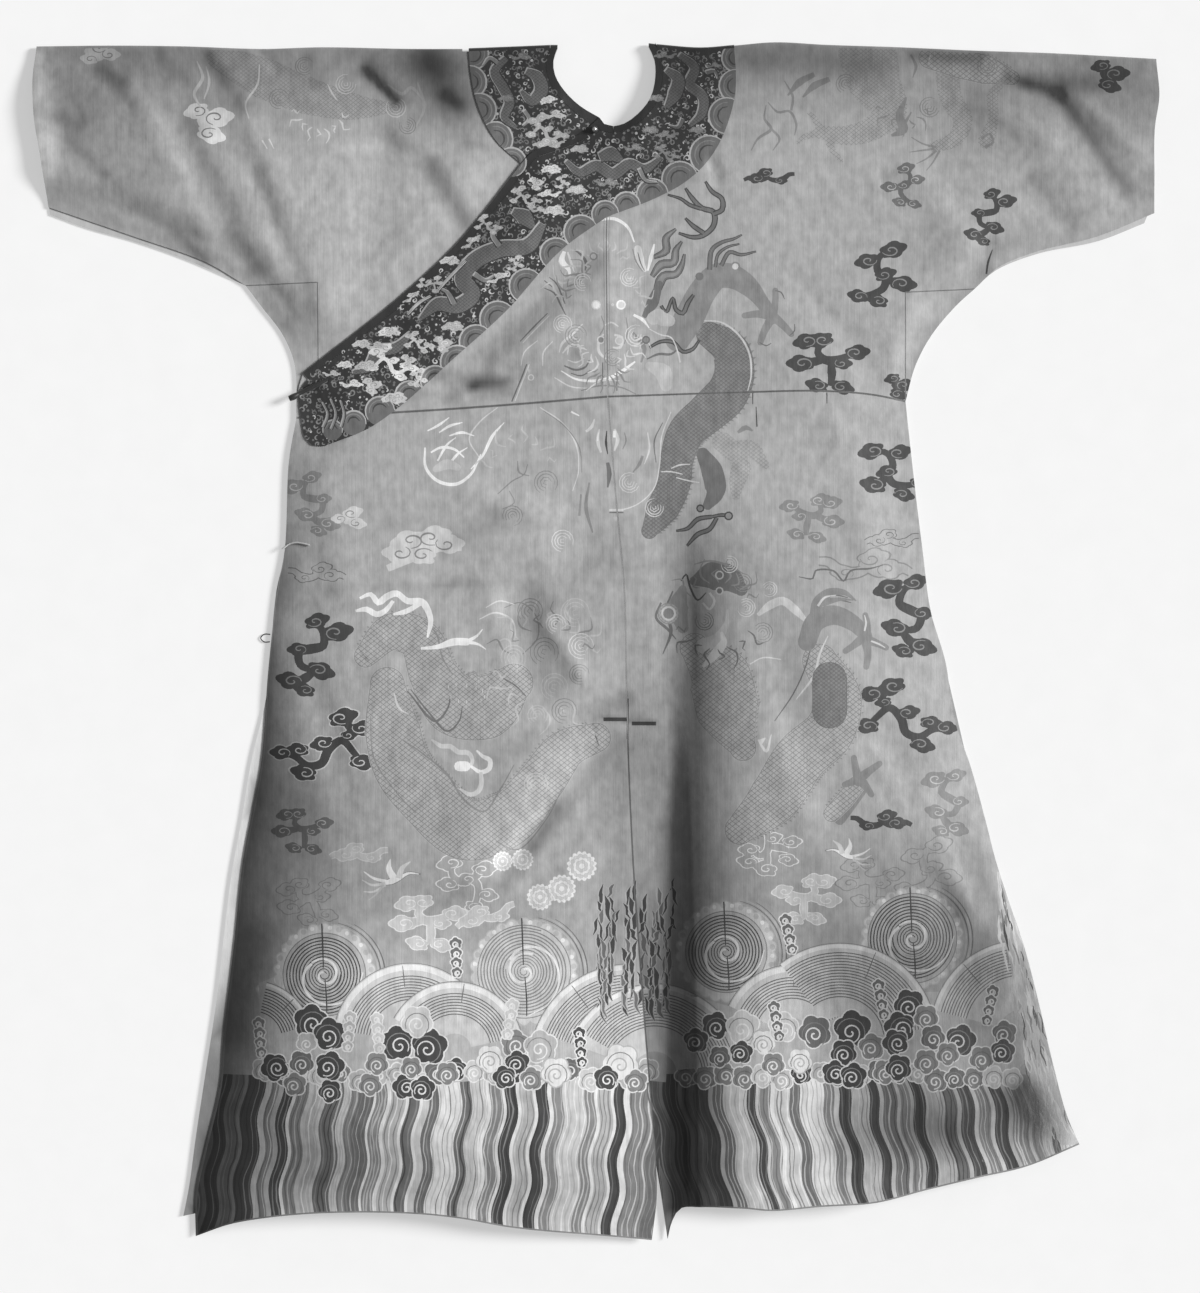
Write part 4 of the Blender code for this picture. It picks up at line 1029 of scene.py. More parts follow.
# Painted shade in folds, creases and hollows, and, below 0, painted sheen; a few broad rows over the hem's
# sea darken the weave itself: from and to, width and share
SHADE_STROKES = table(Fold, """
-484 616 -410 451 17 0.42
-405 440 -375 380 14 0.3
-455 600 -385 440 20 -0.3
-632 599 -588 559 8 0.2
-588 559 -467 454 8 0.16
-496 491 -470 458 10 0.35
-470 700 -423 640 12 0.3
-598 687 -571 670 10 0.2
-665 633 -620 620 10 0.2
-289 590 -289 400 28 -0.2
-278 687 -241 646 11 0.3
-252 609 -231 559 14 0.2
-198 566 -157 498 12 0.25
-198 700 -165 640 30 0.35
-560 700 -560 540 60 0.12
-620 640 -640 540 40 0.16
-340 560 -310 420 20 -0.12
-240 480 -330 360 26 0.15
497 676 557 655 10 0.32
557 655 638 541 10 0.42
521 553 575 499 10 0.25
580 660 650 570 14 -0.12
473 475 467 443 9 0.3
380 704 460 700 9 0.3
520 672 600 668 12 0.22
620 600 640 540 30 0.1
190 700 330 690 24 0.14
460 600 560 580 40 0.08
400 480 420 430 26 0.1
-190 316 -120 305 12 0.35
-43 373 -180 312 14 -0.12
40 420 60 330 70 -0.1
250 480 300 360 70 -0.08
-91 49 -60 -59 26 0.2
-7 97 -115 1 14 0.14
5 -143 -91 -275 15 0.25
-20 -150 -120 -270 16 -0.14
29 -71 -139 -143 12 0.16
-150 200 0 190 60 -0.08
-127 145 -187 115 14 0.16
-60 150 -30 60 26 -0.14
-300 -380 -200 -380 60 -0.14
-330 -200 -300 -330 60 0.28
-180 -300 -60 -350 30 0.14
-380 240 -370 60 22 0.25
341 -119 437 -287 14 -0.16
340 -160 430 -320 14 0.2
200 200 330 200 60 -0.06
200 -300 330 -300 70 0.14
250 -60 330 -130 50 0.1
430 -300 520 -560 70 0.3
300 -380 540 -400 60 0.36
320 -470 560 -480 50 0.32
320 -570 560 -560 50 0.32
330 -430 400 -600 50 0.26
-300 -480 -280 -600 60 0.22
-215 670 -205 640 42 0.16
-600 640 -480 560 60 0.05
330 -250 400 -330 60 0.14
0 450 -126 338 17 0.28
-120 338 -146 306 9 0.22
-2 500 0 450 9 0.16
22 495 30 410 10 -0.12
-146 306 -104 314 7 0.3
-178 290 -156 302 8 0.28
-50 440 -190 318 11 -0.14
-275 684 -241 650 6 0.40
-181 652 -163 643 12 0.28
-157 597 -130 590 7 0.22
-193 574 -154 505 11 0.26
-241 606 -234 593 9 0.20
-410 600 -400 560 12 0.14
-520 700 -500 680 12 0.16
-345 700 -335 670 9 0.18
470 430 395 350 26 0.12
-48 -200 -78 -246 9 0.30
-66 -208 -124 -262 7 -0.22
-185 68 -111 70 7 0.20
-330 62 -170 66 5 0.12
8 -92 70 -98 3.5 0.32
18 60 22 -60 8 -0.10
-30 0 -40 -120 30 -0.06
560 690 640 690 24 0.14
-560 480 -480 470 30 0.10
-668 700 -655 560 12 -0.35
-290 700 -170 690 26 0.10
470 640 640 640 46 0.14
30 -90 30 -360 24 0.2
-30 340 -60 350 30 0.08
-190 150 -160 130 40 0.06
-404 -360 -424 -470 26 0.16
-230 -300 -140 -300 40 0.1
-350 -640 -10 -660 58 0.28
-355 -560 -340 -640 40 0.20
290 -610 430 -590 30 0.20
-100 690 -100 610 30 0.20
110 700 105 620 34 0.32
-20 600 80 570 34 0.22
170 695 330 690 26 0.12
515 -545 565 -640 24 0.38
520 700 650 700 24 -0.14
""")
# Painted shade that fades out from the shoulder fold, and how far it reaches; then the bounds of all painted
# shade and sheen
SHOULDER_DARK, SHOULDER_REACH = 0.40, 130
LEAST_SHADE, MOST_SHADE = -0.4, 0.92
# Each pair here says below which y something grows, and over what height
# Painted shade down the left skirt's margin, where the cloth rolls away from the light
MARGIN_DARK, MARGIN_DARKENS = 0.86, (190, 260)
MARGIN_WIDTH, MARGIN_GROWTH, MARGIN_WIDENS = 30, 120, (60, 450)
# The back that shows beyond the left side gets painted sheen, and painted shadow of the front's edge near the
# hem
BEYOND_PALE, BEYOND_DARK, BEYOND_DARKENS, BEYOND_FROM = -0.3, 0.9, (-350, 170), 60
# Painted shade in the valley of the great fold and past its crest
VALLEY_DARK, VALLEY_DARKENS = 0.86, (230, 200)
VALLEY_SHADE, CREST_SHADE, CREST_OFFSET = 45, 95, 4  # how far it reaches on the valley's and the crest's side
VALLEY_WIDENS = ((40, 50, 300), (120, -250, 200))  # how much further, and then a pair

# ---------------------------------------------------------------- lines


def unit(vectors):
    return vectors / np.linalg.norm(vectors, axis=1)[:, None]


def to_left(vectors):
    """The vectors turned a quarter to the left."""
    return np.column_stack([-vectors[:, 1], vectors[:, 0]])


def spread(values, count):
    """So many numbers that pass evenly through the given ones."""
    return np.interp(np.linspace(0, 1, count), np.linspace(0, 1, len(values)), values)


def between(first, last, start, stop, knot):
    """The point at a knot on the way from first, whose knot is start, to last, whose knot is stop."""
    return (stop - knot) / (stop - start) * first + (knot - start) / (stop - start) * last


def catmull_rom(p0, p1, p2, p3, knots, share):
    """The point at a share of the way from p1 to p2."""
    t0, t1, t2, t3 = knots
    t = t1 + (t2 - t1) * share
    a1, a2, a3 = between(p0, p1, t0, t1, t), between(p1, p2, t1, t2, t), between(p2, p3, t2, t3, t)
    return between(between(a1, a2, t0, t2, t), between(a2, a3, t1, t3, t), t1, t2, t)


def spline(points, step=SAMPLE):
    """A centripetal Catmull-Rom curve through the points, sampled about every step."""
    pts = [np.array(p, float) for p in points]
    if len(pts) == 2:
        count = max(1, round(np.linalg.norm(pts[1] - pts[0]) / step))
        return [tuple(pts[0] + (pts[1] - pts[0]) * i / count) for i in range(count + 1)]
    pts = [2 * pts[0] - pts[1], *pts, 2 * pts[-1] - pts[-2]]
    found = []
    for four in zip(pts, pts[1:], pts[2:], pts[3:]):
        count = max(1, round(np.linalg.norm(four[2] - four[1]) / step))
        knots = [0.0]
        for a, b in zip(four, four[1:]):
            knots.append(knots[-1] + math.sqrt(np.linalg.norm(b - a)))
        found += [tuple(catmull_rom(*four, knots, i / count)) for i in range(count)]
    return [*found, tuple(pts[-2])]


LINES = {name: spline([CORNERS.get(point[0], point) for point in route]) for name, route in EDGES.items()}


def distance_to(lines, x, y):
    """The distances from the points (x, y) to the nearest of the lines."""
    best = np.full(np.shape(x), np.inf)
    for line in lines:
        for (ax, ay), (bx, by) in zip(line, line[1:]):
            dx, dy = bx - ax, by - ay
            share = np.clip(((x - ax) * dx + (y - ay) * dy) / (dx * dx + dy * dy), 0, 1)
            best = np.minimum(best, np.hypot(ax + dx * share - x, ay + dy * share - y))
    return best


def shifted(pts, before, after, distance, least):
    """Points moved to the left of the sides before and after them, by no more than the least cosine lets."""
    middle = unit(before + after)
    reach = 1 / np.maximum(least, (middle * after).sum(axis=1))
    return pts + to_left(middle) * (distance * reach)[:, None]


def beside(line, distance):
    """The line moved to its left by the distance, without the points that a sharp turn brings too near."""
    pts = np.array(line)
    ahead = unit(np.diff(pts, axis=0))
    moved = shifted(pts, np.vstack([ahead[:1], ahead]), np.vstack([ahead, ahead[-1:]]), distance, EDGE_MITRE)
    clear = distance_to([line], moved[:, 0], moved[:, 1]) > abs(distance) - GAP
    return [tuple(p) for p in moved[clear]]


def area_of(outline):
    """The signed area inside a closed outline: positive where it runs anticlockwise."""
    x, y = np.array(outline).T
    return float(np.sum(x * np.roll(y, -1) - np.roll(x, -1) * y)) / 2


def inset(outline):
    """The closed outline drawn in by half a seam gap, anticlockwise."""
    pts = np.array(outline)
    if area_of(outline) < 0:
        pts = pts[::-1]
    ahead = unit(np.roll(pts, -1, axis=0) - pts)
    return shifted(pts, np.roll(ahead, 1, axis=0), ahead, GAP / 2, SEAM_MITRE)


def line_of(*names):
    """Lines joined end to end; a name with a minus is walked backwards."""
    found = []
    for name in names:
        line = LINES[name[1:]][::-1] if name.startswith("-") else LINES[name]
        found += line[1:] if found and math.dist(found[-1], line[0]) < 0.01 else line
    return found


def loop(names):
    """A closed outline from lines joined end to end."""
    found = line_of(*names.split())
    return found[:-1] if math.dist(found[0], found[-1]) < 0.01 else found


def binding_inner(start, line, side, end):
    """The inner edge of a binding along the line, between two given ends."""
    moved = beside(line, side * BINDING)
    return [start, *[p for p in moved if min(math.dist(p, start), math.dist(p, end)) > SAMPLE / 2], end]


BINDING_LOW = tuple(CORNERS["binding_low"])
LINES["binding_in_back_left"] = binding_inner(
    LINES["shoulder_binding_left"][0], LINES["neck_back_left"], -1, BINDING_LOW
)
LINES["binding_in_right"] = binding_inner(
    BINDING_LOW, LINES["neck_right"], -1, LINES["shoulder_binding_right"][-1]
)
LINES["binding_in_flap"] = binding_inner(
    BINDING_LOW, line_of("-neck_throat", "flap_throat", "flap_neck", "flap_edge"), 1, CORNERS["binding_end"]
)

# ---------------------------------------------------------------- outlines of the pieces


def outlines(text):
    return {name: loop(names) for name, names in fields(text)}


BODY = outlines("""
body_and_sleeve_left: shoulder_left shoulder_collar_left shoulder_binding_left neck_left under_front \
-waist_under -gusset_side_left -gusset_top_left -sleeve_left -cuff_left
body_and_sleeve_right: shoulder_binding_right shoulder_collar_right shoulder_right cuff_right sleeve_right \
gusset_top_right gusset_side_right -waist_right -centre_front neck_right
front_overlap: flap_throat flap_neck flap_edge flap_side waist_side_left waist_left -centre_front -neck_throat
gusset_front_left: gusset_top_left gusset_side_left -waist_side_left -underarm_left
gusset_front_right: gusset_top_right gusset_side_right -underarm_right
skirt_front_left: waist_side_left waist_left centre_skirt vent_left -hem_left -side_left
skirt_front_right: waist_right side_right -hem_right -vent_right -centre_skirt
""")
COLLAR = outlines("""
neck_binding_left: neck_left flap_throat -binding_in_left shoulder_binding_left
collar_left: binding_in_left flap_neck -collar_outer_left shoulder_collar_left
neck_binding_right: neck_right shoulder_binding_right -binding_in_right -binding_seam
flap_binding: -neck_throat flap_throat flap_neck flap_edge -binding_in_flap -binding_seam
collar_band: -binding_in_right binding_in_flap band_end band_lower collar_lower -shoulder_collar_right
""")
BACK = outlines("""
body_and_sleeve_left: shoulder_left collar_back_left back_seam -waist_left -waist_side_left \
-underarm_left -back_sleeve_left -back_cuff_left
body_and_sleeve_right: shoulder_right back_cuff_right back_sleeve_right underarm_right -waist_right \
-back_seam collar_back_right
skirt_back_left: waist_side_left waist_left centre_skirt back_vent_left -back_hem_left -back_side_left
skirt_back_right: waist_right back_side_right -back_hem_right -back_vent_right -centre_skirt
neck_binding_left: neck_back_left binding_seam -binding_in_back_left shoulder_binding_left
neck_binding_right: neck_right shoulder_binding_right -binding_in_right -binding_seam
collar_left: shoulder_collar_left binding_in_back_left collar_seam_back -collar_back_left
collar_band: shoulder_collar_right -collar_back_right -collar_seam_back binding_in_right
""")
INNER = outlines("inner_flap: waist_side_left waist_under inner_side_right -inner_hem -back_side_left")
FRONTS = {**BODY, **COLLAR, **INNER}
# The fold over the shoulder of each piece that runs to the back
FOLD_OF = {
    "body_and_sleeve_left": CLOTH_FOLD, "body_and_sleeve_right": CLOTH_FOLD, "collar_left": BAND_FOLD,
    "collar_band": BAND_FOLD, "neck_binding_left": BAND_FOLD, "neck_binding_right": BAND_FOLD,
}
# The sheets of cloth: the piece, what it rests on, and the strips sewn on it
SHEETS = fields("""
body_and_sleeve_left: skirt_back_left:
body_and_sleeve_right: skirt_back_left:
collar_left: body_and_sleeve_left body_and_sleeve_right front_overlap: neck_binding_left
collar_band: body_and_sleeve_left body_and_sleeve_right front_overlap: neck_binding_right flap_binding
front_overlap: body_and_sleeve_left:
gusset_front_left: body_and_sleeve_left:
gusset_front_right: body_and_sleeve_right:
skirt_front_left: inner_flap skirt_back_left:
skirt_front_right: skirt_back_right:
skirt_back_left::
skirt_back_right::
inner_flap: skirt_back_left:
""")


def enclosed(starts, ends, points):
    """Which of the points lie inside a set of directed sides, also where the sides cross."""
    turns = np.zeros(len(points), int)
    low, high = starts.min(axis=0), starts.max(axis=0)
    near = np.flatnonzero(((points > low) & (points < high)).all(axis=1))
    x, y = points[near].T
    found = np.zeros(len(near), int)
    for (ax, ay), (bx, by) in zip(starts, ends):
        if ay != by:
            left = x < ax + (bx - ax) * (y - ay) / (by - ay)
            found += ((ay <= y) & (y < by) & left).astype(int)
            found -= ((by <= y) & (y < ay) & left).astype(int)
    turns[near] = found
    return turns != 0


def holds(outline, points):
    outline = np.array(outline)
    return enclosed(outline, np.roll(outline, -1, axis=0), points)


# ---------------------------------------------------------------- heights

SLEEVE_EDGES = [LINES[name] for name in ("sleeve_left", "sleeve_right", "underarm_left", "underarm_right")]
SHOULDERS = [
    line_of("shoulder_left", "shoulder_collar_left"),
    line_of("shoulder_collar_right", "shoulder_right"),
]
FLAP_EDGES = [line_of("flap_throat", "flap_neck", "flap_edge", "flap_side")]
SEAM = np.array((LINES["centre_skirt"] + LINES["vent_left"][1:])[::-1])
LEFT_SIDE = np.array(LINES["side_left"][::-1])
VENT_TOP = CORNERS["vent_top"]


def ease(share):
    share = np.clip(share, 0, 1)
    return share * share * (3 - 2 * share)


def grown(y, below, over):
    """0 above the height below, and 1 once y is lower than that by over."""
    return ease((below - y) / over)


def swell(share):
    """A rounded rise that is steepest at its foot."""
    return np.sin(np.clip(share, 0, 1) * math.pi / 2)


def mix(first, second, share):
    return first * (1 - share) + second * share


def skirt_lift(y):
    lowest_first = np.array(SKIRT_LIFT[::-1])
    return np.interp(y, *lowest_first.T)


def seam_x(y):
    return np.interp(y, SEAM[:, 1], SEAM[:, 0])


def crest_x(y):
    share = (CREST_TOP.y - y) / (CREST_TOP.y - CREST_HEM.y)
    return CREST_TOP.x + (CREST_HEM.x - CREST_TOP.x) * share


def valley(y):
    """How far the valley has opened at this height, from 0 to 1."""
    return grown(y, VALLEY_STARTS_Y, VALLEY_STARTS_Y - VALLEY_FULL_Y)


def slit(y):
    """1 above the front slit, falling to 0 where its two edges lie apart."""
    return 1 - grown(y, VENT_TOP.y, SLIT_OPENS)


def folds(x, y, rows):
    """The sum of the rows' ridges and troughs, each with soft sides and ends."""
    total = np.zeros(np.shape(x))
    for fold in rows:
        dx, dy = fold.x2 - fold.x1, fold.y2 - fold.y1
        length = math.hypot(dx, dy)
        along = ((x - fold.x1) * dx + (y - fold.y1) * dy) / length
        across = ((x - fold.x1) * dy - (y - fold.y1) * dx) / length
        past = np.maximum(0, np.maximum(-along, along - length)) / fold.width
        total += fold.lift * np.exp(-((across / fold.width) ** 2) - past**2)
    return total


def crumple(x, y):
    """Faint unevenness of cloth that has been folded away for years."""
    return sum(wave.lift * np.sin(x / wave.across + y / wave.along + wave.start) for wave in WAVES)


def roll(x, y):
    """How far the lift has risen from the side edges, from 0 to 1."""
    arm = ease(distance_to(SLEEVE_EDGES, x, y) / SLEEVE_ROLL)
    left = swell(distance_to([LINES["side_left"]], x, y) / LEFT_ROLL)
    right = swell(distance_to([LINES["side_right"]], x, y) / RIGHT_ROLL)
    return np.minimum(arm, np.minimum(left, right))


def general_lift(x, y):
    below = ease(distance_to(SHOULDERS, x, y) / SHOULDER_BLEND)
    upper = SHOULDER_LIFT + (UPPER_LIFT - SHOULDER_LIFT) * below
    share = ease((y - WAIST_BLEND_FROM) / (WAIST_BLEND_TO - WAIST_BLEND_FROM))
    return mix(skirt_lift(y), upper, share) * roll(x, y)


def seam_lift(y):
    """The lift of the cloth along the centre seam of the skirt."""
    return mix(general_lift(seam_x(y), y), VALLEY_FLOOR, valley(y))


def by_seam(y):
    """How far the two skirts take the seam's lift at this height, from 0 to 1."""
    return grown(y, SEAM_BLEND_FROM, SEAM_BLEND_FROM - SEAM_BLEND_TO)


def with_folds(lift, x, y):
    """The lift with its large folds, and with the small creases that only the cloth itself shows."""
    small = CREASE_DEPTH * folds(x, y, CREASES) + crumple(x, y)
    return np.maximum(0, lift + (folds(x, y, FOLDS) + small) * ease(lift / FOLDS_FULL))


def clear_lift(x, y):
    """The general lift, which falls to nought along the flap's edge."""
    return general_lift(x, y) * ease(distance_to(FLAP_EDGES, x, y) / FLAP_ROLL)


def left_height(x, y):
    """Top of the overlap and of the left skirt, which lie on the left front and the inner flap."""
    near = (1 - ease((seam_x(y) - x) / LEFT_BLEND)) * by_seam(y)
    lift = mix(clear_lift(x, y), seam_lift(np.maximum(y, VENT_TOP.y)), near)
    return PLY + WALL + PLY + with_folds(lift, x, y)


def right_height(x, y):
    """Top of the right front and of the right skirt, with the great fold."""
    beyond = x - seam_x(y)
    near = (1 - ease(beyond / RIGHT_BLEND)) * by_seam(y)
    side = ease((crest_x(y) - x) / STEEP_SIDE) * valley(y)
    lift = mix(mix(clear_lift(x, y), seam_lift(y), near), seam_lift(y), side)
    under = (1 - ease(beyond / OVER_LEFT)) * slit(y)
    return PLY + WALL + PLY * under + with_folds(lift, x, y)


def under_height(x, y):
    """Top of the left front, which lies flat where the overlap covers it."""
    covered = holds(BODY["front_overlap"], np.column_stack([x, y]))
    return PLY + WALL + np.where(covered, 0, with_folds(clear_lift(x, y), x, y))


def band_height(x, y):
    return np.where(x > seam_x(y), right_height(x, y), left_height(x, y)) + PLY


def under_band_height(x, y):
    return under_height(x, y) + PLY


def inner_height(x, y):
    return PLY + WALL


def back_height(x, y):
    return WALL


# ---------------------------------------------------------------- woven shapes


def polar(x, y, reach, angle):
    """Points round (x, y) at these reaches and angles."""
    return np.column_stack([x + reach * np.cos(angle), y + reach * np.sin(angle)])


def band(route, widths, step=4.0):
    """The outline of a strip along a curve; its width passes through the given ones from end to end."""
    middle = np.array(spline(route, step))
    aside = to_left(unit(np.gradient(middle, axis=0))) * (spread(widths, len(middle))[:, None] / 2)
    return np.vstack([middle + aside, (middle - aside)[::-1]])


def round_shape(x, y, radius, lobes=0, depth=0.15, turn=0.0):
    """A closed round outline, plain or with lobes, about as finely cut as its size needs."""
    count = lobes * 6 if lobes else max(10, round(radius * 1.6))
    angle = np.arange(count) * 2 * math.pi / count
    reach = radius * (1 - depth + depth * np.abs(np.sin(angle * lobes / 2))) if lobes else radius
    return polar(x, y, reach, angle + turn)


def arc(x, y, radius, start, stop):
    """Points along a circle, with angles in degrees."""
    count = max(4, round(abs(stop - start) * radius / 300))
    return polar(x, y, radius, np.radians(np.linspace(start, stop, count)))


def spiral(x, y, inner, outer, turns, start=0.0, hand=1):
    """Points of a spiral from an inner radius to an outer one, from an angle in degrees."""
    share = np.linspace(0, 1, max(7, round(turns * 14)))
    angle = math.radians(start) + hand * 2 * math.pi * turns * share
    return polar(x, y, inner + (outer - inner) * share, angle)


class Drawing:
    """Shapes in the order in which they lie on each other, each with the thread that it is woven in."""

    def __init__(self):
        self.threads, self.outlines = [], []

    def fill(self, thread, outline):
        self.threads.append(thread)
        self.outlines.append(np.array(outline))

    def line(self, thread, route, *widths, step=4.0):
        self.fill(thread, band(route, widths, step))


# ---------------------------------------------------------------- plans


def grid(cell, panels, outlines):
    """Staggered points inside the panels that keep clear of the points of every outline."""
    near = np.vstack(outlines)
    (left, low), (right, high) = near.min(axis=0), near.max(axis=0)
    rows = np.arange(low + cell / 2, high, cell * ROW_SPACING)
    x, y = np.meshgrid(np.arange(left, right, cell), rows)
    x = x + cell / 2 * (np.arange(len(rows)) % 2)[:, None]
    points = np.column_stack([x.ravel(), y.ravel()])
    points = points[np.any([holds(outline, points) for outline in panels], axis=0)]
    box = cell * CLEAR_OF_EDGE
    taken = {tuple(p) for p in np.floor(near / box).astype(int)}
    return [p for p, key in zip(points, np.floor(points / box).astype(int)) if tuple(key) not in taken]


class Plan:
    """Panels and woven shapes as one flat triangle mesh, in which each triangle has its thread."""

    def __init__(self, panels, cell, drawing=None, extra=()):
        outlines = [inset(outline) for outline in panels.values()]
        shapes = drawing.outlines if drawing else []
        points, edges = [], []
        for outline in [*outlines, *shapes]:
            first, count = len(points), len(outline)
            edges += [(first + i, first + (i + 1) % count) for i in range(count)]
            points += [Vector(p) for p in outline]
        points += [Vector(p) for p in [*extra, *grid(cell, outlines, [*outlines, *shapes])]]
        found = delaunay_2d_cdt(points, edges, [], 0, 1e-3, False)
        self.cell, self.outlines = cell, dict(zip(panels, outlines))
        self.points = np.array([tuple(p) for p in found[0]])
        self.triangles = np.array(found[2])
        middles = self.points[self.triangles].mean(axis=1)
        self.panels = {name: holds(outline, middles) for name, outline in zip(panels, outlines)}
        self.threads = np.full(len(middles), "ground", dtype=object)
        if drawing:
            for thread, shape in zip(drawing.threads, shapes):
                self.threads[holds(shape, middles)] = thread

    def piece(self, name):
        """The piece's triangles and their threads."""
        return self.triangles[self.panels[name]], self.threads[self.panels[name]]

    def rim(self, name):
        """The sides of the piece's triangles that lie along its edge, as pairs of points."""
        triangles, _ = self.piece(name)
        sides = np.vstack([triangles[:, [0, 1]], triangles[:, [1, 2]], triangles[:, [2, 0]]])
        count = len(self.points)
        return sides[~np.isin(sides @ (count, 1), sides @ (1, count))]

    def lining(self, name):
        """The piece's edge points, then the points and triangles of its plain inner side."""
        sides = self.rim(name)
        rim, edges = np.unique(sides, return_inverse=True)
        edges = edges.reshape(-1, 2)
        cell = LINING_CELL if self.cell == CELL else self.cell
        inner = grid(cell, [self.outlines[name]], [self.points[rim]])
        points = [Vector(p) for p in [*self.points[rim], *inner]]
        found = delaunay_2d_cdt(points, edges.tolist(), [], 0, 1e-5, False)
        points, triangles = np.array([tuple(p) for p in found[0]]), np.array(found[2])
        kept = enclosed(*self.points[sides].transpose(1, 0, 2), points[triangles].mean(axis=1))
        return rim, points, triangles[kept]

    def shoulder_chain(self, name, line):
        """The piece's points along a stretch of the shoulder, from left to right."""
        rim = np.unique(self.rim(name))
        x, y = self.points[rim].T
        on = (line[0][0] < x) & (x < line[-1][0]) & (distance_to([line], x, y) < GAP)
        return [int(i) for i in rim[on][np.argsort(x[on])]]


# ---------------------------------------------------------------- cloth


class Surface:
    """Points and faces of one piece: its outer side, its lining and the rim between them."""

    def __init__(self):
        self.points, self.faces, self.threads = [], [], []
        self.below = {}  # the lining's point under a point of the outer side

    def add_side(self, points, triangles, threads, z, up):
        """Triangles at one height; returns the new number of the first point."""
        first = len(self.points)
        self.points += [(x, y, z) for x, y in points]
        self.faces += (triangles + first if up else triangles[:, ::-1] + first).tolist()
        self.threads += list(threads)
        return first

    def add_flat(self, plan, name, z, up=True):
        """Both sides of a piece that lies flat; returns the new numbers of its outer points."""
        triangles, threads = plan.piece(name)
        used, flat = np.unique(triangles, return_inverse=True)
        outer = self.add_side(plan.points[used], flat.reshape(-1, 3), threads, z, up)
        number = {int(i): outer + k for k, i in enumerate(used)}
        rim, points, triangles = plan.lining(name)
        threads = ["lining"] * len(triangles)
        inner = self.add_side(points, triangles, threads, z - WALL if up else z + WALL, not up)
        self.below.update({number[int(i)]: inner + k for k, i in enumerate(rim)})
        return number

    def add_fold(self, front, back, z):
        """A half round from each front point over the shoulder to the back, with its lining inside."""
        outer = self.add_half_round(front, back, z / 2, z / 2, "ground")
        chains = [[self.below[i] for i in chain] for chain in (front, back)]
        inner = self.add_half_round(*chains, z / 2, z / 2 - WALL, "lining")
        self.below.update(zip(outer, inner))

    def add_half_round(self, front, back, middle, radius, thread):
        rings = [front]
        for step in range(1, FOLD_STEPS):
            turn = math.pi * step / FOLD_STEPS
            rings.append(range(len(self.points), len(self.points) + len(front)))
            for i, j in zip(front, back):
                x = self.points[i][0] + (self.points[j][0] - self.points[i][0]) * step / FOLD_STEPS
                y = self.points[i][1] + radius * math.sin(turn)
                self.points.append((x, y, middle + radius * math.cos(turn)))
        rings.append(back)
        for upper, lower in zip(rings, rings[1:]):
            for i in range(len(front) - 1):
                face = [upper[i], upper[i + 1], lower[i + 1], lower[i]]
                self.faces.append(face[::-1] if thread == "lining" else face)
                self.threads.append(thread)
        return [point for ring in rings for point in ring]

    def close(self):
        """Joins the two sides all round the edge."""
        sides = {}
        for face, thread in zip(self.faces, self.threads):
            if thread != "lining":
                sides.update({side: thread for side in zip(face, face[1:] + face[:1])})
        for (a, b), thread in sides.items():
            if (b, a) not in sides:
                self.faces.append([b, a, self.below[a], self.below[b]])
                self.threads.append(thread)


# ---------------------------------------------------------------- finishes


class Shade:
    """One value in a material; sums on it add Math nodes."""

    def __init__(self, finish, socket):
        self.finish, self.socket = finish, socket

    def math(self, operation, *values):
        return self.finish.node("ShaderNodeMath", {"operation": operation}, dict(enumerate(values)))

    def __add__(self, other):
        return self.math("ADD", self, other)

    def __sub__(self, other):
        return self.math("SUBTRACT", self, other)

    def __rsub__(self, other):
        return self.math("SUBTRACT", other, self)

    def __mul__(self, other):
        return self.math("MULTIPLY", self, other)

    __radd__, __rmul__ = __add__, __mul__

    def wave(self, length):
        """From -1 to 1 and back over the length."""
        return self.math("SINE", self * (2 * math.pi / length))

    def least(self, other):
        return self.math("MINIMUM", self, other)

    def size(self):
        return self.math("ABSOLUTE", self)

    def step(self, low, high):
        """0 below low, 1 above high, and smooth between."""
        settings = {"interpolation_type": "SMOOTHSTEP"}
        return self.finish.node("ShaderNodeMapRange", settings, {0: self, 1: low, 2: high})


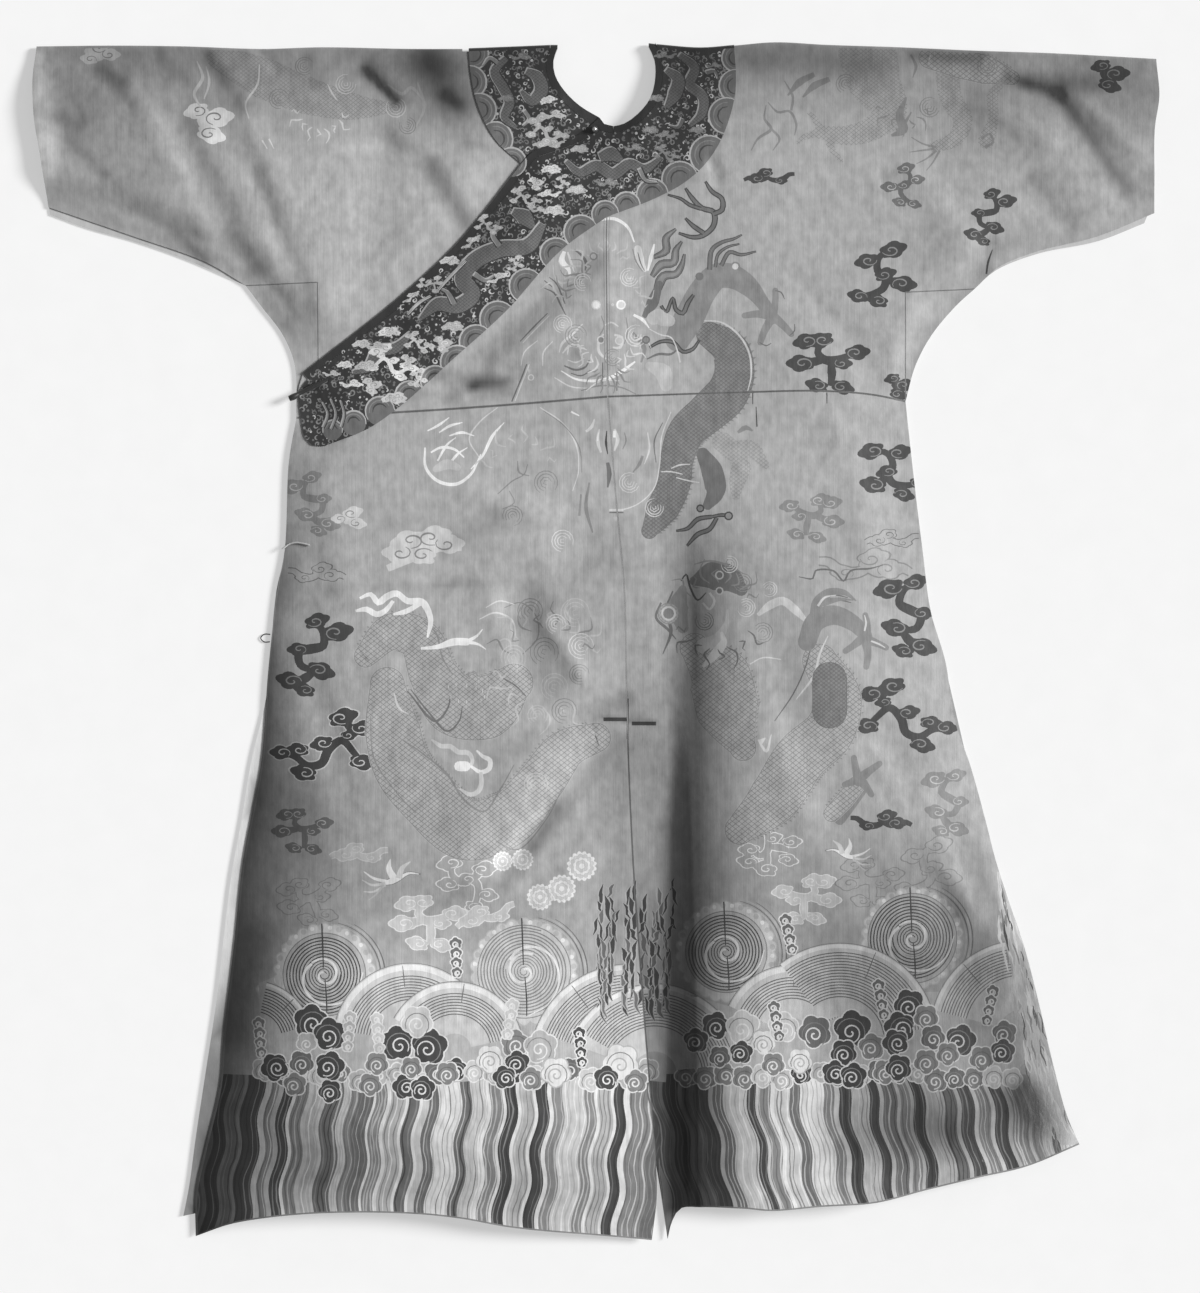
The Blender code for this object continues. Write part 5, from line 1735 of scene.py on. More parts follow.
class Finish:
    """A material under construction: its nodes, and the Principled shader that they feed."""

    def __init__(self, name, roughness, metallic=0.0, **constants):
        self.material = bpy.data.materials.new(name)
        self.material.use_nodes = True
        self.tree = self.material.node_tree
        self.shader = self.tree.nodes["Principled BSDF"]
        self.feed("Roughness", roughness)
        self.feed("Metallic", metallic)
        for socket, value in constants.items():
            self.feed(socket.replace("_", " "), value)

    def feed(self, socket, value):
        self.join(self.shader.inputs[socket], value)

    def join(self, socket, value):
        if isinstance(value, Shade):
            self.tree.links.new(value.socket, socket)
        else:
            socket.default_value = value

    def node(self, kind, settings, sockets, output=0):
        made = self.tree.nodes.new(kind)
        for key, value in settings.items():
            setattr(made, key, value)
        for key, value in sockets.items():
            self.join(made.inputs[key], value)
        return Shade(self, made.outputs[output])

    def place(self):
        """The point's own place in metres."""
        return self.node("ShaderNodeTexCoord", {}, {}, output="Object")

    def axis(self, index):
        return self.node("ShaderNodeSeparateXYZ", {}, {0: self.place()}, output=index)

    def noise(self, scale, detail=2.0):
        stretched = self.node("ShaderNodeMapping", {}, {"Vector": self.place(), "Scale": scale})
        sockets = {"Vector": stretched, "Scale": 1.0, "Detail": detail}
        return self.node("ShaderNodeTexNoise", {}, sockets)

    def blend(self, factor, first, second):
        """A grey between two others."""
        sockets = {"Factor": factor, 6: grey(first), 7: grey(second)}
        return self.node("ShaderNodeMix", {"data_type": "RGBA", "clamp_factor": True}, sockets, output=2)

    def bump(self, height, strength, distance):
        sockets = {"Height": height, "Strength": strength, "Distance": distance}
        self.feed("Normal", self.node("ShaderNodeBump", {}, sockets))


def grey(value):
    return (value, value, value, 1.0)


def warp(finish):
    """How the thread's tone varies, from 0 to 1: fine streaks along the warp, and broad stain-like patches.
    """
    streaks = finish.noise(STREAKS, 3.0)
    broad, mottled = finish.noise(BROAD_STAINS, 3.0), finish.noise(MOTTLING, 6.0)
    return (streaks * 0.3 + broad * 0.2 + mottled * 0.5 - 0.5) * WARP_CONTRAST + 0.5


def scale_lines(finish, pitch):
    """1 on the crossing lines of a dragon's scales, 0 between them."""
    x, y = finish.axis(0), finish.axis(1) * SCALE_SLANT
    length = 2 * pitch * MM
    first, second = (x + y).wave(length).size(), (x - y).wave(length).size()
    return 1 - first.least(second).step(SCALE_LINE / 2, SCALE_LINE)


def silk(name, tone, netting=None, spread=0.18):
    """Woven silk of one tone, plain or with lines of scales that are darker by a share."""
    finish = Finish(name, 0.42, Sheen_Weight=0.12, Sheen_Roughness=0.4)
    # Painted shade and painted sheen, read from the mesh's points, darken or lighten the tone
    shading = finish.node("ShaderNodeAttribute", {"attribute_name": "shade_and_sheen"}, {}, output="Fac")
    value = ((warp(finish) - 0.5) * (2 * spread) + 1) * (1 - shading) * tone
    if netting:
        depth, pitch = netting
        value = value * (1 - scale_lines(finish, pitch) * depth)
    finish.feed("Base Color", finish.blend(value, 0.0, 1.0))
    weft = finish.axis(1).wave(WEFT_PITCH) * 0.5
    wrinkles = finish.noise(WRINKLES, 5.0) * WRINKLE_DEPTH
    finish.bump(finish.noise(THREAD_GRAIN) + weft * 0.3 + wrinkles, 0.25, 0.0004)
    return finish.material


def brass():
    made = Finish("worn_brass", 0.3, 1.0)
    tarnish = made.noise((400, 400, 400), 3.0)
    made.feed("Base Color", made.blend(tarnish, 0.45, 0.75))
    made.bump(tarnish, 0.2, 0.0002)
    return made.material


FINISHES = {name: silk(name + "_silk", tone) for name, tone in THREADS.items()}
FINISHES.update({name: silk(*row) for name, row in SILKS.items()})

# ---------------------------------------------------------------- the woven picture: hem


def stripe_edge(x, lean):
    """The swaying edge of a hem stripe that starts at x, from its top down."""
    count = round((STRIPES_TOP - STRIPES_END) / STRIPE_STEP)
    edge = []
    for i in range(count + 1):
        y = STRIPES_TOP + (STRIPES_END - STRIPES_TOP) * i / count
        sway = STRIPE_SWAY * math.sin((y - STRIPE_PEAK + x * STRIPE_SHIFT) * 2 * math.pi / STRIPE_WAVE)
        edge.append((x + lean * (STRIPES_TOP - y) + sway, y))
    return edge


def stripes(drawing, x, table, lean, chance):
    """A row of hem stripes, each with wandering lines of neighbouring threads inside."""
    for width, thread in table:
        drawing.fill(thread, stripe_edge(x, lean) + stripe_edge(x + width, lean)[::-1])
        count = round(width / STRIPE_LINE_SPACING)
        for i in range(count if width > STRIPE_LINED_FROM else 0):
            at = x + width * (i + 0.5 + chance.uniform(-0.2, 0.2)) / count
            route = [(px + chance.uniform(-0.9, 0.9), py) for px, py in stripe_edge(at, lean)[::2]]
            inner = chance.choice(STRIPE_LINES[thread])
            widths = [chance.uniform(0.6, 2.2) for _ in range(6)]
            drawing.line(inner, route, 0.8, *widths, 0.8, step=5.0)
        x += width


def whirlpool(drawing, x, y, radius, rim, hand, ground):
    """A great whirl of the sea: a scalloped foam rim, a disc of fine lines and a pale swirl at its middle."""
    for step, (thread, wide) in enumerate(WAKE):
        start, stop = WAKE_FROM + step * WAKE_TURN, WAKE_TO + step * 2 * WAKE_TURN
        wake = arc(x + WAKE_X, y + WAKE_Y, rim + WAKE_OUT - step * WAKE_PITCH, start, stop)
        drawing.line(thread, wake, 0.6, wide, 0.6)
    drawing.fill("soft", round_shape(x, y, rim + 1.4, WHIRL_LOBES, 0.06))
    drawing.fill("light", round_shape(x, y, rim, WHIRL_LOBES, 0.07))
    for i in range(BEADS):
        (at,) = polar(x, y, rim - BEAD_INSIDE, [math.radians(BEAD_FROM + i * BEAD_STEP)])
        bead, size = ("pale", BEAD_SMALL) if i % 2 else ("soft", BEAD_LARGE)
        drawing.fill(bead, round_shape(*at, size))
    drawing.fill("mid", round_shape(x, y, radius + 3.2))
    drawing.fill(ground, round_shape(x, y, radius + 2))
    lines, eye = "mid" if ground == "light" else "dark", radius * WHIRL_EYE
    outer = spiral(x, y, radius * 0.4, radius, (radius * 0.6) / WHIRL_PITCH, 200, hand)
    drawing.line(lines, outer, 1.5, step=5)
    drawing.fill(ground, round_shape(x, y, eye))
    drawing.line(lines, spiral(x, y, 3, eye, radius * 0.4 / WHIRL_PITCH, 20, hand), 1.1)
    drawing.line("pale", spiral(x, y, 2.5, radius * 0.44, 1.1, 100, hand), 2.6, 3.4, 2.2)
    drawing.line("pale", spiral(x, y, eye, radius * 0.99, 0.62, 140, hand), 3.4, 2.6, 1.2)
    drawing.line("dark", [(x - 3, y + rim), (x - 2, y + rim * 0.6), (x - 1, y + 8)], 1.6, 1.9, 1.2)
    drawing.line("dark", [(x + 1, y - 6), (x + 3, y - rim * 0.55), (x + 3, y - radius)], 1.2, 1.8, 1.2)


def breaker(drawing, x, y, radius, start, stop, lines, rim, body):
    """A hill of the sea seen from its side: a broad pale edge and the fine lines below it."""
    outline = np.vstack([arc(x, y, radius, start, stop), arc(x, y, radius * HILL_FOOT, stop, start)])
    drawing.fill(body, outline)
    edges = (("light", rim / 2, rim), ("pale", rim * 0.35, rim * 0.5), ("mid", -0.5, 1.1))
    for thread, down, width in edges:
        drawing.line(thread, arc(x, y, radius - down, start, stop), width)
    for i in range(int(lines)):
        reach = radius - rim - HILL_BELOW - HILL_PITCH * i
        if reach > radius * HILL_LEAST:
            drawing.line("dim" if body == "light" else "dark", arc(x, y, reach, start, stop), 1.3)
    lead = (start + stop) / 2
    crack = [arc(x, y, radius * share, lead, lead + 1)[0] for share in (0.98, 0.84, 0.7)]
    drawing.line("dim", crack, 0.8, 1.4, 0.8)


def foam(drawing, x, y, radius, thread, turn, hand):
    """A curl of spray: a lobed head with a pale rim and a pale curl."""
    rim = "pale" if thread != "pale" else "soft"
    lead = math.radians(turn)
    drawing.fill(rim, round_shape(x, y, radius + SPRAY_RIM, SPRAY_LOBES, SPRAY_RIM_DEPTH, lead))
    drawing.fill(thread, round_shape(x, y, radius, SPRAY_LOBES, SPRAY_DEPTH, lead))
    offset = radius * SPRAY_OFFSET
    cx, cy = x - offset * math.cos(lead), y - offset * math.sin(lead)
    if radius > SPRAY_ARC_FROM:
        inner = arc(cx, cy, radius * SPRAY_ARC, turn - 130, turn + 110)
        drawing.line("mid" if thread != "mid" else "dim", inner, 1.2)
    curl = spiral(cx, cy, 1.2, radius * SPRAY_CURL, SPRAY_TURNS, turn, hand)
    drawing.line(rim, curl, 2.0, 1.9, 1.2, step=2.5)


# ---------------------------------------------------------------- the woven picture: clouds and dragons


def placed(points, x, y, size, flip, turn=0):
    """Points given from a shape's own middle, put where the shape lies."""
    lead = math.radians(turn)
    cos, sin = math.cos(lead) * size, math.sin(lead) * size
    return [(x + flip * (px * cos - py * sin), y + px * sin + py * cos) for px, py in points]


def head_shape(x, y, radius, lead):
    """The outline of a curled cloud head: low round lobes drawn out sideways to a tip."""
    angle = np.arange(HEAD_POINTS) * math.tau / HEAD_POINTS
    lobes = HEAD_LOBES * np.abs(np.cos(angle * HEAD_WAVES))
    reach = radius * (HEAD_LEAST + lobes + HEAD_TIP * np.cos(angle))
    along, across = reach * np.cos(angle) * HEAD_LONG, reach * np.sin(angle) * HEAD_WIDE
    hand, tilt = math.copysign(1, math.cos(lead)), HEAD_TILT * math.sin(lead)
    return np.column_stack([x + hand * along - across * tilt, y + across + hand * along * tilt])


def cloud(drawing, shape, x, y, thread, size=1.0, flip=1, turn=0, rim=None):
    """A cloud of curled heads on winding strands."""
    lines, ends = CLOUD_SHAPES[shape]
    strands = [placed(points(strand), x, y, size, flip, turn) for strand in lines.split(";")]
    heads = []
    for hx, hy, radius in points(ends):
        ((hx, hy),) = placed([(hx, hy)], x, y, size, flip, turn)
        heads.append((hx, hy, radius * size * HEAD, math.atan2(hy - y, hx - x)))
    width = STRAND * size
    for thick, layer in ((RIM * max(size, 0.6), rim), (0.0, thread)):
        if layer:
            end = width * STRAND_END + thick
            for strand in strands:
                drawing.line(layer, strand, end, width + thick, end)
            for hx, hy, radius, lead in heads:
                drawing.fill(layer, head_shape(hx, hy, radius + thick / 2, lead))
    curl = rim or CURLS.get(thread, "ground")
    for i, (hx, hy, radius, lead) in enumerate(heads):
        if radius > CURLED_FROM:
            start, hand = math.degrees(lead) + 180, 1 if i % 2 else -1
            route = spiral(hx, hy, radius * CURL_FROM, radius * CURL_TO, CURL_TURNS, start, hand)
            route = [(hx + CURL_LONG * (px - hx), hy + CURL_WIDE * (py - hy)) for px, py in route]
            drawing.line(curl, route, *[share * radius for share in CURL_WIDTHS], step=2.5)


def spines(drawing, thread, route, widths):
    """Short spines along the left side of a dragon's body."""
    middle = np.array(spline(route, SPINE_PITCH))
    ahead = unit(np.gradient(middle, axis=0))
    aside = to_left(ahead)
    foot = middle + aside * (spread(widths, len(middle)) / 2)[:, None]
    for p, a, n in zip(foot[1:-1], ahead[1:-1], aside[1:-1]):
        back, front = p - a * SPINE_PITCH * 0.4, p + a * SPINE_PITCH * 0.4
        drawing.fill(thread, [back, front, p - a * SPINE_PITCH * 0.3 + n * SPINE])


def dragon_part(drawing, thread, route, widths):
    """A stretch of body with its edge and spines, a horn or a flame, or a plain stroke."""
    if thread in SPINED:
        spines(drawing, "mid", route, widths)
    layers = EDGES_OF.get(thread, ())
    if thread not in ("horn", "flame"):
        layers = (*layers, (thread, 0.0))
    for layer, extra in layers:
        drawing.line(layer, route, *[max(width + extra, 0.3) for width in widths])
        for (x, y), width in ((route[0], widths[0]), (route[-1], widths[-1])):
            if width > ROUNDED_FROM:
                drawing.fill(layer, round_shape(x, y, (width + extra) / 2))


def mane(drawing, x, y, near, far, start, stop, count, thread):
    """Wavy strands that stand out from a dragon's face."""
    for i in range(int(count)):
        lead = math.radians(start + (stop - start) * i / (count - 1))
        share = np.array((0, 0.35, 0.7, 1))
        reach = near + (far * (0.8 + 0.2 * (i % 2)) - near) * share
        route = polar(x, y, reach, lead + 0.10 * np.sin(share * 6 + i))
        drawing.line(thread, route, 0.8, 2.6, 1.9, 0.7)


def whorl(drawing, x, y, radius, thread):
    """Nested curls of a mane."""
    for i, share in enumerate(WHORL_CURLS):
        curl = arc(x, y, radius * share, 20 + 25 * i + x, 300 + 15 * i + x)
        drawing.line(thread, curl, 0.5, 1.3, 0.7)


def ring(drawing, thread, x, y, radius, width, inside):
    """A round mark, such as an eye or a pearl."""
    drawing.fill(thread, round_shape(x, y, radius))
    drawing.fill(inside, round_shape(x, y, radius - width))


def bird(drawing, x, y, size, flip):
    """A crane in flight: two raised wings, a slim body and trailing feathers."""
    for thread, route, widths in BIRD:
        drawing.line(thread, placed(route, x, y, size, flip), *[width * size for width in widths], step=3)


def flower(drawing, x, y, radius):
    """A full round bloom with rows of petals."""
    for i, share in enumerate(PETAL_ROWS):
        lobes = max(5, round(PETALS * share))
        drawing.fill("soft", round_shape(x, y, radius * share + 0.5, lobes, 0.14, i))
        drawing.fill("light" if i % 2 else "pale", round_shape(x, y, radius * share, lobes, 0.14, i))


def scallop(drawing, x, y, radius, turn):
    """A wave of the collar's border: a mound on its edge with an inner crest."""
    out = math.radians(turn)
    x, y = x + SCALLOP_OUT * math.cos(out), y + SCALLOP_OUT * math.sin(out)
    radius *= SCALLOP_SIZE
    drawing.fill("dim", round_shape(x, y, radius))
    drawing.line("soft", arc(x, y, radius, turn + 75, turn + 285), 1.0, 2.0, 2.2, 1.2)
    drawing.line("mid", arc(x, y, radius * 0.74, turn + 100, turn + 260), 0.8, 1.6, 0.8)
    drawing.line("dark", arc(x, y, radius * 0.5, turn + 100, turn + 260), 0.8, 2.4, 0.8)


def speckles(drawing, panels, chance):
    """Small curls and dots strewn over the ground of the brocade."""
    corners = np.vstack(panels)
    (left, low), (right, high) = corners.min(axis=0), corners.max(axis=0)
    spots = []
    for x in np.arange(left, right, SPECKLE_SPACING):
        for y in np.arange(low, high, SPECKLE_SPACING):
            spots.append((x + chance.uniform(0, SPECKLE_SPACING), y + chance.uniform(0, SPECKLE_SPACING)))
    spots = np.array(spots)
    for x, y in spots[np.any([holds(outline, spots) for outline in panels], axis=0)]:
        thread = chance.choice(SPECKLE_THREADS)
        if chance.random() < SPECKLE_DOTS:
            drawing.fill(thread, round_shape(x, y, chance.uniform(0.8, 1.9), 1, 0))
        else:
            turns, radius = chance.uniform(0.5, 1.1), chance.uniform(2.2, 4.2)
            route = spiral(x, y, radius * 0.3, radius, turns, chance.uniform(0, 360), chance.choice((-1, 1)))
            drawing.line(thread, route, 0.8, chance.uniform(1.4, 2.4), 0.7, step=3)


def rock(drawing, chance):
    """The rock that stands in the sea at the front slit: a net of dark slivers that lean to and fro."""
    left, right, low, high = ROCK_BOX
    for column in range(ROCK_COLUMNS):
        x, y = left + (right - left) * column / (ROCK_COLUMNS - 1), high - chance.uniform(0, 50)
        lean = chance.choice((-1, 1))
        while y > low:
            down, aside = chance.uniform(14, 34), chance.uniform(3, 11) * lean
            route = [(x + aside * bend, y - down * share) for bend, share in ROCK_BEND]
            wide = chance.uniform(2.6, 6.4)
            drawing.line("soft", route, 1.6, wide + 2.6, wide + 1.8, 1.6)
            drawing.line(chance.choice(("dark", "dim", "dark")), route, 0.6, wide, wide * 0.7, 0.6)
            y -= down * chance.uniform(0.6, 0.95)
            x = min(max(x + aside + chance.uniform(-4, 4), left), right)
            lean = -lean


def seams(drawing):
    """The puckered lines along the seams."""
    for name, thread, width in SEAM_LINES:
        drawing.line(thread, LINES[name], width, step=SAMPLE)
    upper = [p for p in LINES["centre_front"] if p[1] > PUCKER_ABOVE]
    for side in (-PUCKER_BESIDE, PUCKER_BESIDE):
        drawing.line("mid", beside(upper, side), 0.8, step=SAMPLE)
    drawing.line("light", [p for p in LINES["side_left"] if p[1] < PIPED_BELOW], 2, 6, 6, 6, step=SAMPLE)


def sheen_edge(drawing, chance):
    """The pale flecked border down the right side of the skirt, a painted sheen where its edge curls."""
    edge = [p for p in LINES["side_right"] if p[1] < SHEEN_FROM]
    widths = np.interp(np.linspace(0, 1, len(edge)), SHEEN_SHARES, SHEEN_WIDTHS)
    inner = [(x - wide * chance.uniform(0.85, 1.15), y) for (x, y), wide in zip(edge, widths)]
    drawing.fill("light", [(x + 2, y) for x, y in edge] + inner[::-1])
    for _ in range(SHEEN_FLECKS):
        first = chance.randrange(len(edge) - 4)
        inward = chance.uniform(0.05, 1.25)
        route = []
        for (x, y), wide in list(zip(edge, widths))[first:first + chance.randint(3, 6)]:
            route.append((x - wide * (inward + chance.uniform(-0.06, 0.06)), y))
        drawing.line(chance.choice(FLECK_THREADS), route, 0.8, chance.uniform(1.5, 4.5), 0.8)


def draw_all(drawing, shape, table):
    for row in table:
        shape(drawing, *row)


def draw_collar():
    drawing = Drawing()
    speckles(drawing, (COLLAR["collar_left"], COLLAR["collar_band"]), random.Random(COLLAR_SEED))
    draw_all(drawing, scallop, SCALLOPS)
    for thread, route, widths in COLLAR_DRAGONS:
        widths = [width * COLLAR_WIDTHS[thread] for width in widths]
        drawing.line("black", route, *[width + 3.4 for width in widths])
        drawing.line("soft", [(x - 0.8, y + 0.8) for x, y in route], *[width + 0.4 for width in widths])
        drawing.line(thread, [(x + 0.5, y - 0.5) for x, y in route], *widths)
    draw_all(drawing, cloud, COLLAR_CLOUDS)
    return drawing


def draw_body():
    drawing = Drawing()
    chance = random.Random(BODY_SEED)
    for shape, table in (
        (cloud, CLOUDS), (dragon_part, DRAGONS), (mane, MANES), (whorl, WHORLS), (ring, RINGS),
        (flower, FLOWERS),
    ):
        draw_all(drawing, shape, table)
    stripes(drawing, STRIPES_LEFT_X, STRIPES_LEFT, STRIPE_LEAN_LEFT, chance)
    stripes(drawing, STRIPES_RIGHT_X, STRIPES_RIGHT, STRIPE_LEAN_RIGHT, chance)
    for zone in FOAM_ZONES:
        drawing.fill("soft", zone)
    for x in range(*SPRAY_FROM_TO, SPRAY_STEP):
        y = SPRAY_Y + chance.uniform(-7, 7)
        if x < SPRAY_GAP[0] or x > SPRAY_GAP[1]:
            thread = chance.choice(SPRAY_THREADS)
            radius, turn = chance.uniform(12, 15), chance.uniform(60, 120)
            foam(drawing, x, y, radius, thread, turn, chance.choice((-1, 1)))
    draw_all(drawing, whirlpool, WHIRLS)
    draw_all(drawing, breaker, BREAKERS)
    rock(drawing, chance)
    draw_all(drawing, foam, FOAM)
    for x, y, lean, thread in SPRAY_COLUMNS:
        for i in range(COLUMN_CURLS):
            turn, hand = (120, 1) if i % 2 else (60, -1)
            radius = COLUMN_RADIUS - i * COLUMN_TAPER
            foam(drawing, x + lean * i, y - COLUMN_STEP * i, radius, thread, turn, hand)
    sheen_edge(drawing, chance)
    draw_all(drawing, bird, BIRDS)
    seams(drawing)
    return drawing


# ---------------------------------------------------------------- the robe


def shade_and_sheen(x, y):
    """How much painted shade darkens the cloth below its thread, with a little of the weave's own darkness,
    from below 0, where painted sheen lightens it, to near 1.
    """
    found = folds(x, y, SHADE_STROKES)
    # Painted shade that fades out from the shoulder fold
    found += SHOULDER_DARK * (1 - ease(distance_to(SHOULDERS, x, y) / SHOULDER_REACH))
    # Painted shade down the left skirt's margin, where the cloth rolls away from the light
    margin = MARGIN_WIDTH + MARGIN_GROWTH * grown(y, *MARGIN_WIDENS)
    near_side = 1 - np.clip(distance_to([LINES["side_left"]], x, y) / margin, 0, 1)
    found += MARGIN_DARK * grown(y, *MARGIN_DARKENS) * near_side**1.3
    # Beyond the left side the back gets painted sheen, and painted shadow of the front's edge towards the hem
    beyond = (x < np.interp(y, LEFT_SIDE[:, 1], LEFT_SIDE[:, 0]) - 2 * GAP) & (y < BEYOND_FROM)
    found = np.where(beyond, BEYOND_PALE + BEYOND_DARK * grown(y, *BEYOND_DARKENS), found)
    # Painted shade in the valley of the great fold and past its crest
    across = x - crest_x(y) - CREST_OFFSET
    reach = VALLEY_SHADE + sum(further * grown(y, *pair) for further, *pair in VALLEY_WIDENS)
    before = (1 - np.clip(-across / reach, 0, 1)) ** 1.2 * (x > seam_x(y))
    after = (1 - np.clip(across / CREST_SHADE, 0, 1)) ** 1.4
    found += VALLEY_DARK * grown(y, *VALLEY_DARKENS) * np.where(across < 0, before, after)
    return np.clip(found, LEAST_SHADE, MOST_SHADE)


def add_object(name, data):
    obj = bpy.data.objects.new(name, data)
    bpy.context.scene.collection.objects.link(obj)
    return obj


def cloth_from(name, surface, lift, ground):
    """The surface as an object, with its points lifted and a silk for each thread."""
    surface.close()
    place = np.array(surface.points)
    place[:, 2] += lift(*place.T)
    mesh = bpy.data.meshes.new(name)
    mesh.from_pydata((place * MM).tolist(), [], surface.faces)
    used = sorted(set(surface.threads) - {"ground"})
    for thread in [ground, *used]:
        mesh.materials.append(FINISHES[thread])
    slots = {thread: i + 1 for i, thread in enumerate(used)}
    mesh.polygons.foreach_set("material_index", [slots.get(thread, 0) for thread in surface.threads])
    # Painted shade and painted sheen at each point
    shading = mesh.attributes.new("shade_and_sheen", "FLOAT", "POINT")
    shading.data.foreach_set("value", shade_and_sheen(place[:, 0], place[:, 1]))
    mesh.update()
    mesh.shade_smooth()
    mesh.set_sharp_from_angle(angle=SHARP_ANGLE)
    return add_object(name, mesh)


def stand_in(obj, node):
    """Makes the object ride on the robe, and stand for the node if one is named."""
    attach(obj, "root")
    if node:
        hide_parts(node)
    return obj


def paired(points, front, back):
    """The front chain's points, each with the nearest of the back chain."""
    pairs = {}
    for i in front:
        pairs.setdefault(min(back, key=lambda j: abs(points[j][0] - points[i][0])), i)
    return list(pairs.values()), list(pairs)


def folded(name, plan, height, shoulder, fold, ground, slot):
    """A piece that runs from the front over the shoulder to the back, where it lies on the ground."""
    line = LINES[shoulder]
    extra = plan.points[plan.shoulder_chain(name, line)][1:-1]
    surface = Surface()
    chains = []
    for side, z in ((plan, fold), (Plan({name: BACK[name]}, HIDDEN_CELL, extra=extra), 0.0)):
        number = surface.add_flat(side, name, z, up=z > 0)
        chains.append([number[i] for i in side.shoulder_chain(name, line)])
    surface.add_fold(*paired(surface.points, *chains), fold)

    def lift(x, y, z):
        return (height(x, y) - fold) * np.clip((z - WALL) / (fold - 2 * WALL), 0, 1)

    return stand_in(cloth_from(name + "_cloth", surface, lift, ground), name)


def flat(name, plan, height, ground, slot):
    surface = Surface()
    surface.add_flat(plan, name, 0.0)
    made = cloth_from(name + "_cloth", surface, lambda x, y, z: height(x, y), ground)
    return stand_in(made, name)


def flat_size(outline):
    """The sides of the narrowest rectangle that holds the outline, the shorter one first."""
    points = np.array(outline)
    found = []
    for degrees in range(0, 90, 3):
        turn = math.radians(degrees)
        along = points @ (math.cos(turn), math.sin(turn))
        across = points @ (-math.sin(turn), math.cos(turn))
        found.append(sorted((np.ptp(along), np.ptp(across))))
    return min(found, key=math.prod)


def declare(name):
    """Works out the flat size a piece's cloth is cut to, with its back and its shoulder fold if it has them,
    and keeps none of it.
    """
    cut = [side[name] for side in (FRONTS, BACK) if name in side]
    fold = FOLD_OF[name] * math.pi / 2 if name in FOLD_OF else 0.0
    sizes = [flat_size(outline) for outline in cut]
    width = max(size[0] for size in sizes)
    length = sum(size[1] for size in sizes) + fold
    area = sum(abs(area_of(outline)) for outline in cut) + fold * width / 2
    width * MM
    length * MM
    min(area, width * length) * MM * MM


def build_cloth():
    body, collar = Plan(BODY, CELL, draw_body()), Plan(COLLAR, CELL, draw_collar())
    back = Plan({name: BACK[name] for name in ("skirt_back_left", "skirt_back_right")}, HIDDEN_CELL)
    satin, brocade, strip = ("ground", "satin"), ("brocade", "collar_silk"), ("binding", "binding_silk")
    for name, plan, height, shoulder, silks in (
        ("body_and_sleeve_left", body, under_height, "shoulder_left", satin),
        ("body_and_sleeve_right", body, right_height, "shoulder_right", satin),
        ("collar_left", collar, under_band_height, "shoulder_collar_left", brocade),
        ("collar_band", collar, band_height, "shoulder_collar_right", brocade),
        ("neck_binding_left", collar, under_band_height, "shoulder_binding_left", strip),
        ("neck_binding_right", collar, band_height, "shoulder_binding_right", strip),
    ):
        folded(name, plan, height, shoulder, FOLD_OF[name], *silks)
    for name, plan, height, silks in (
        ("front_overlap", body, left_height, satin),
        ("gusset_front_left", body, under_height, satin),
        ("gusset_front_right", body, right_height, satin),
        ("skirt_front_left", body, left_height, satin),
        ("skirt_front_right", body, right_height, satin),
        ("skirt_back_left", back, back_height, satin),
        ("skirt_back_right", back, back_height, satin),
        ("flap_binding", collar, band_height, strip),
        ("inner_flap", Plan(INNER, HIDDEN_CELL), inner_height, ("lining", "inner_satin")),
    ):
        flat(name, plan, height, *silks)
    for name, rests_on, trims in SHEETS:
        declare(name)


def tube(name, route, material, resolution, closed=False):
    """A cord along a route of x, y, z and radius."""
    curve = bpy.data.curves.new(name, "CURVE")
    curve.dimensions = "3D"
    curve.bevel_depth = MM
    curve.bevel_resolution = resolution
    curve.use_fill_caps = not closed
    stroke = curve.splines.new("POLY")
    stroke.points.add(len(route) - 1)
    stroke.use_cyclic_u = closed
    for point, (x, y, z, radius) in zip(stroke.points, route):
        point.co = (x * MM, y * MM, z * MM, 1)
        point.radius = radius
    curve.materials.append(material)
    return add_object(name, curve)


def cord(name, route, height, material, node):
    """A cord that follows a surface, whose radius changes from point to point."""
    middle = [(p.x, p.y, float(height(p.x, p.y)) + p.above + p.radius, p.radius) for p in route]
    stand_in(tube(name + "_cord", spline(middle, CORD_SAMPLE), FINISHES[material], 5), node)


def turned(name, profile, material, sides=28):
    """A round solid from (radius, height) rows about the button's axis."""
    turns = np.arange(sides) * 2 * math.pi / sides
    place = [(x * MM, y * MM, z * MM) for radius, z in profile for x, y in polar(*BUTTON_AT, radius, turns)]
    faces = []
    for first in range(0, len(place) - sides, sides):
        for i in range(sides):
            j = (i + 1) % sides
            faces.append((first + i, first + j, first + sides + j, first + sides + i))
    faces += [range(sides)[::-1], range(len(place) - sides, len(place))]
    mesh = bpy.data.meshes.new(name)
    mesh.from_pydata(place, [], faces)
    mesh.shade_smooth()
    mesh.materials.append(material)
    return add_object(name, mesh)


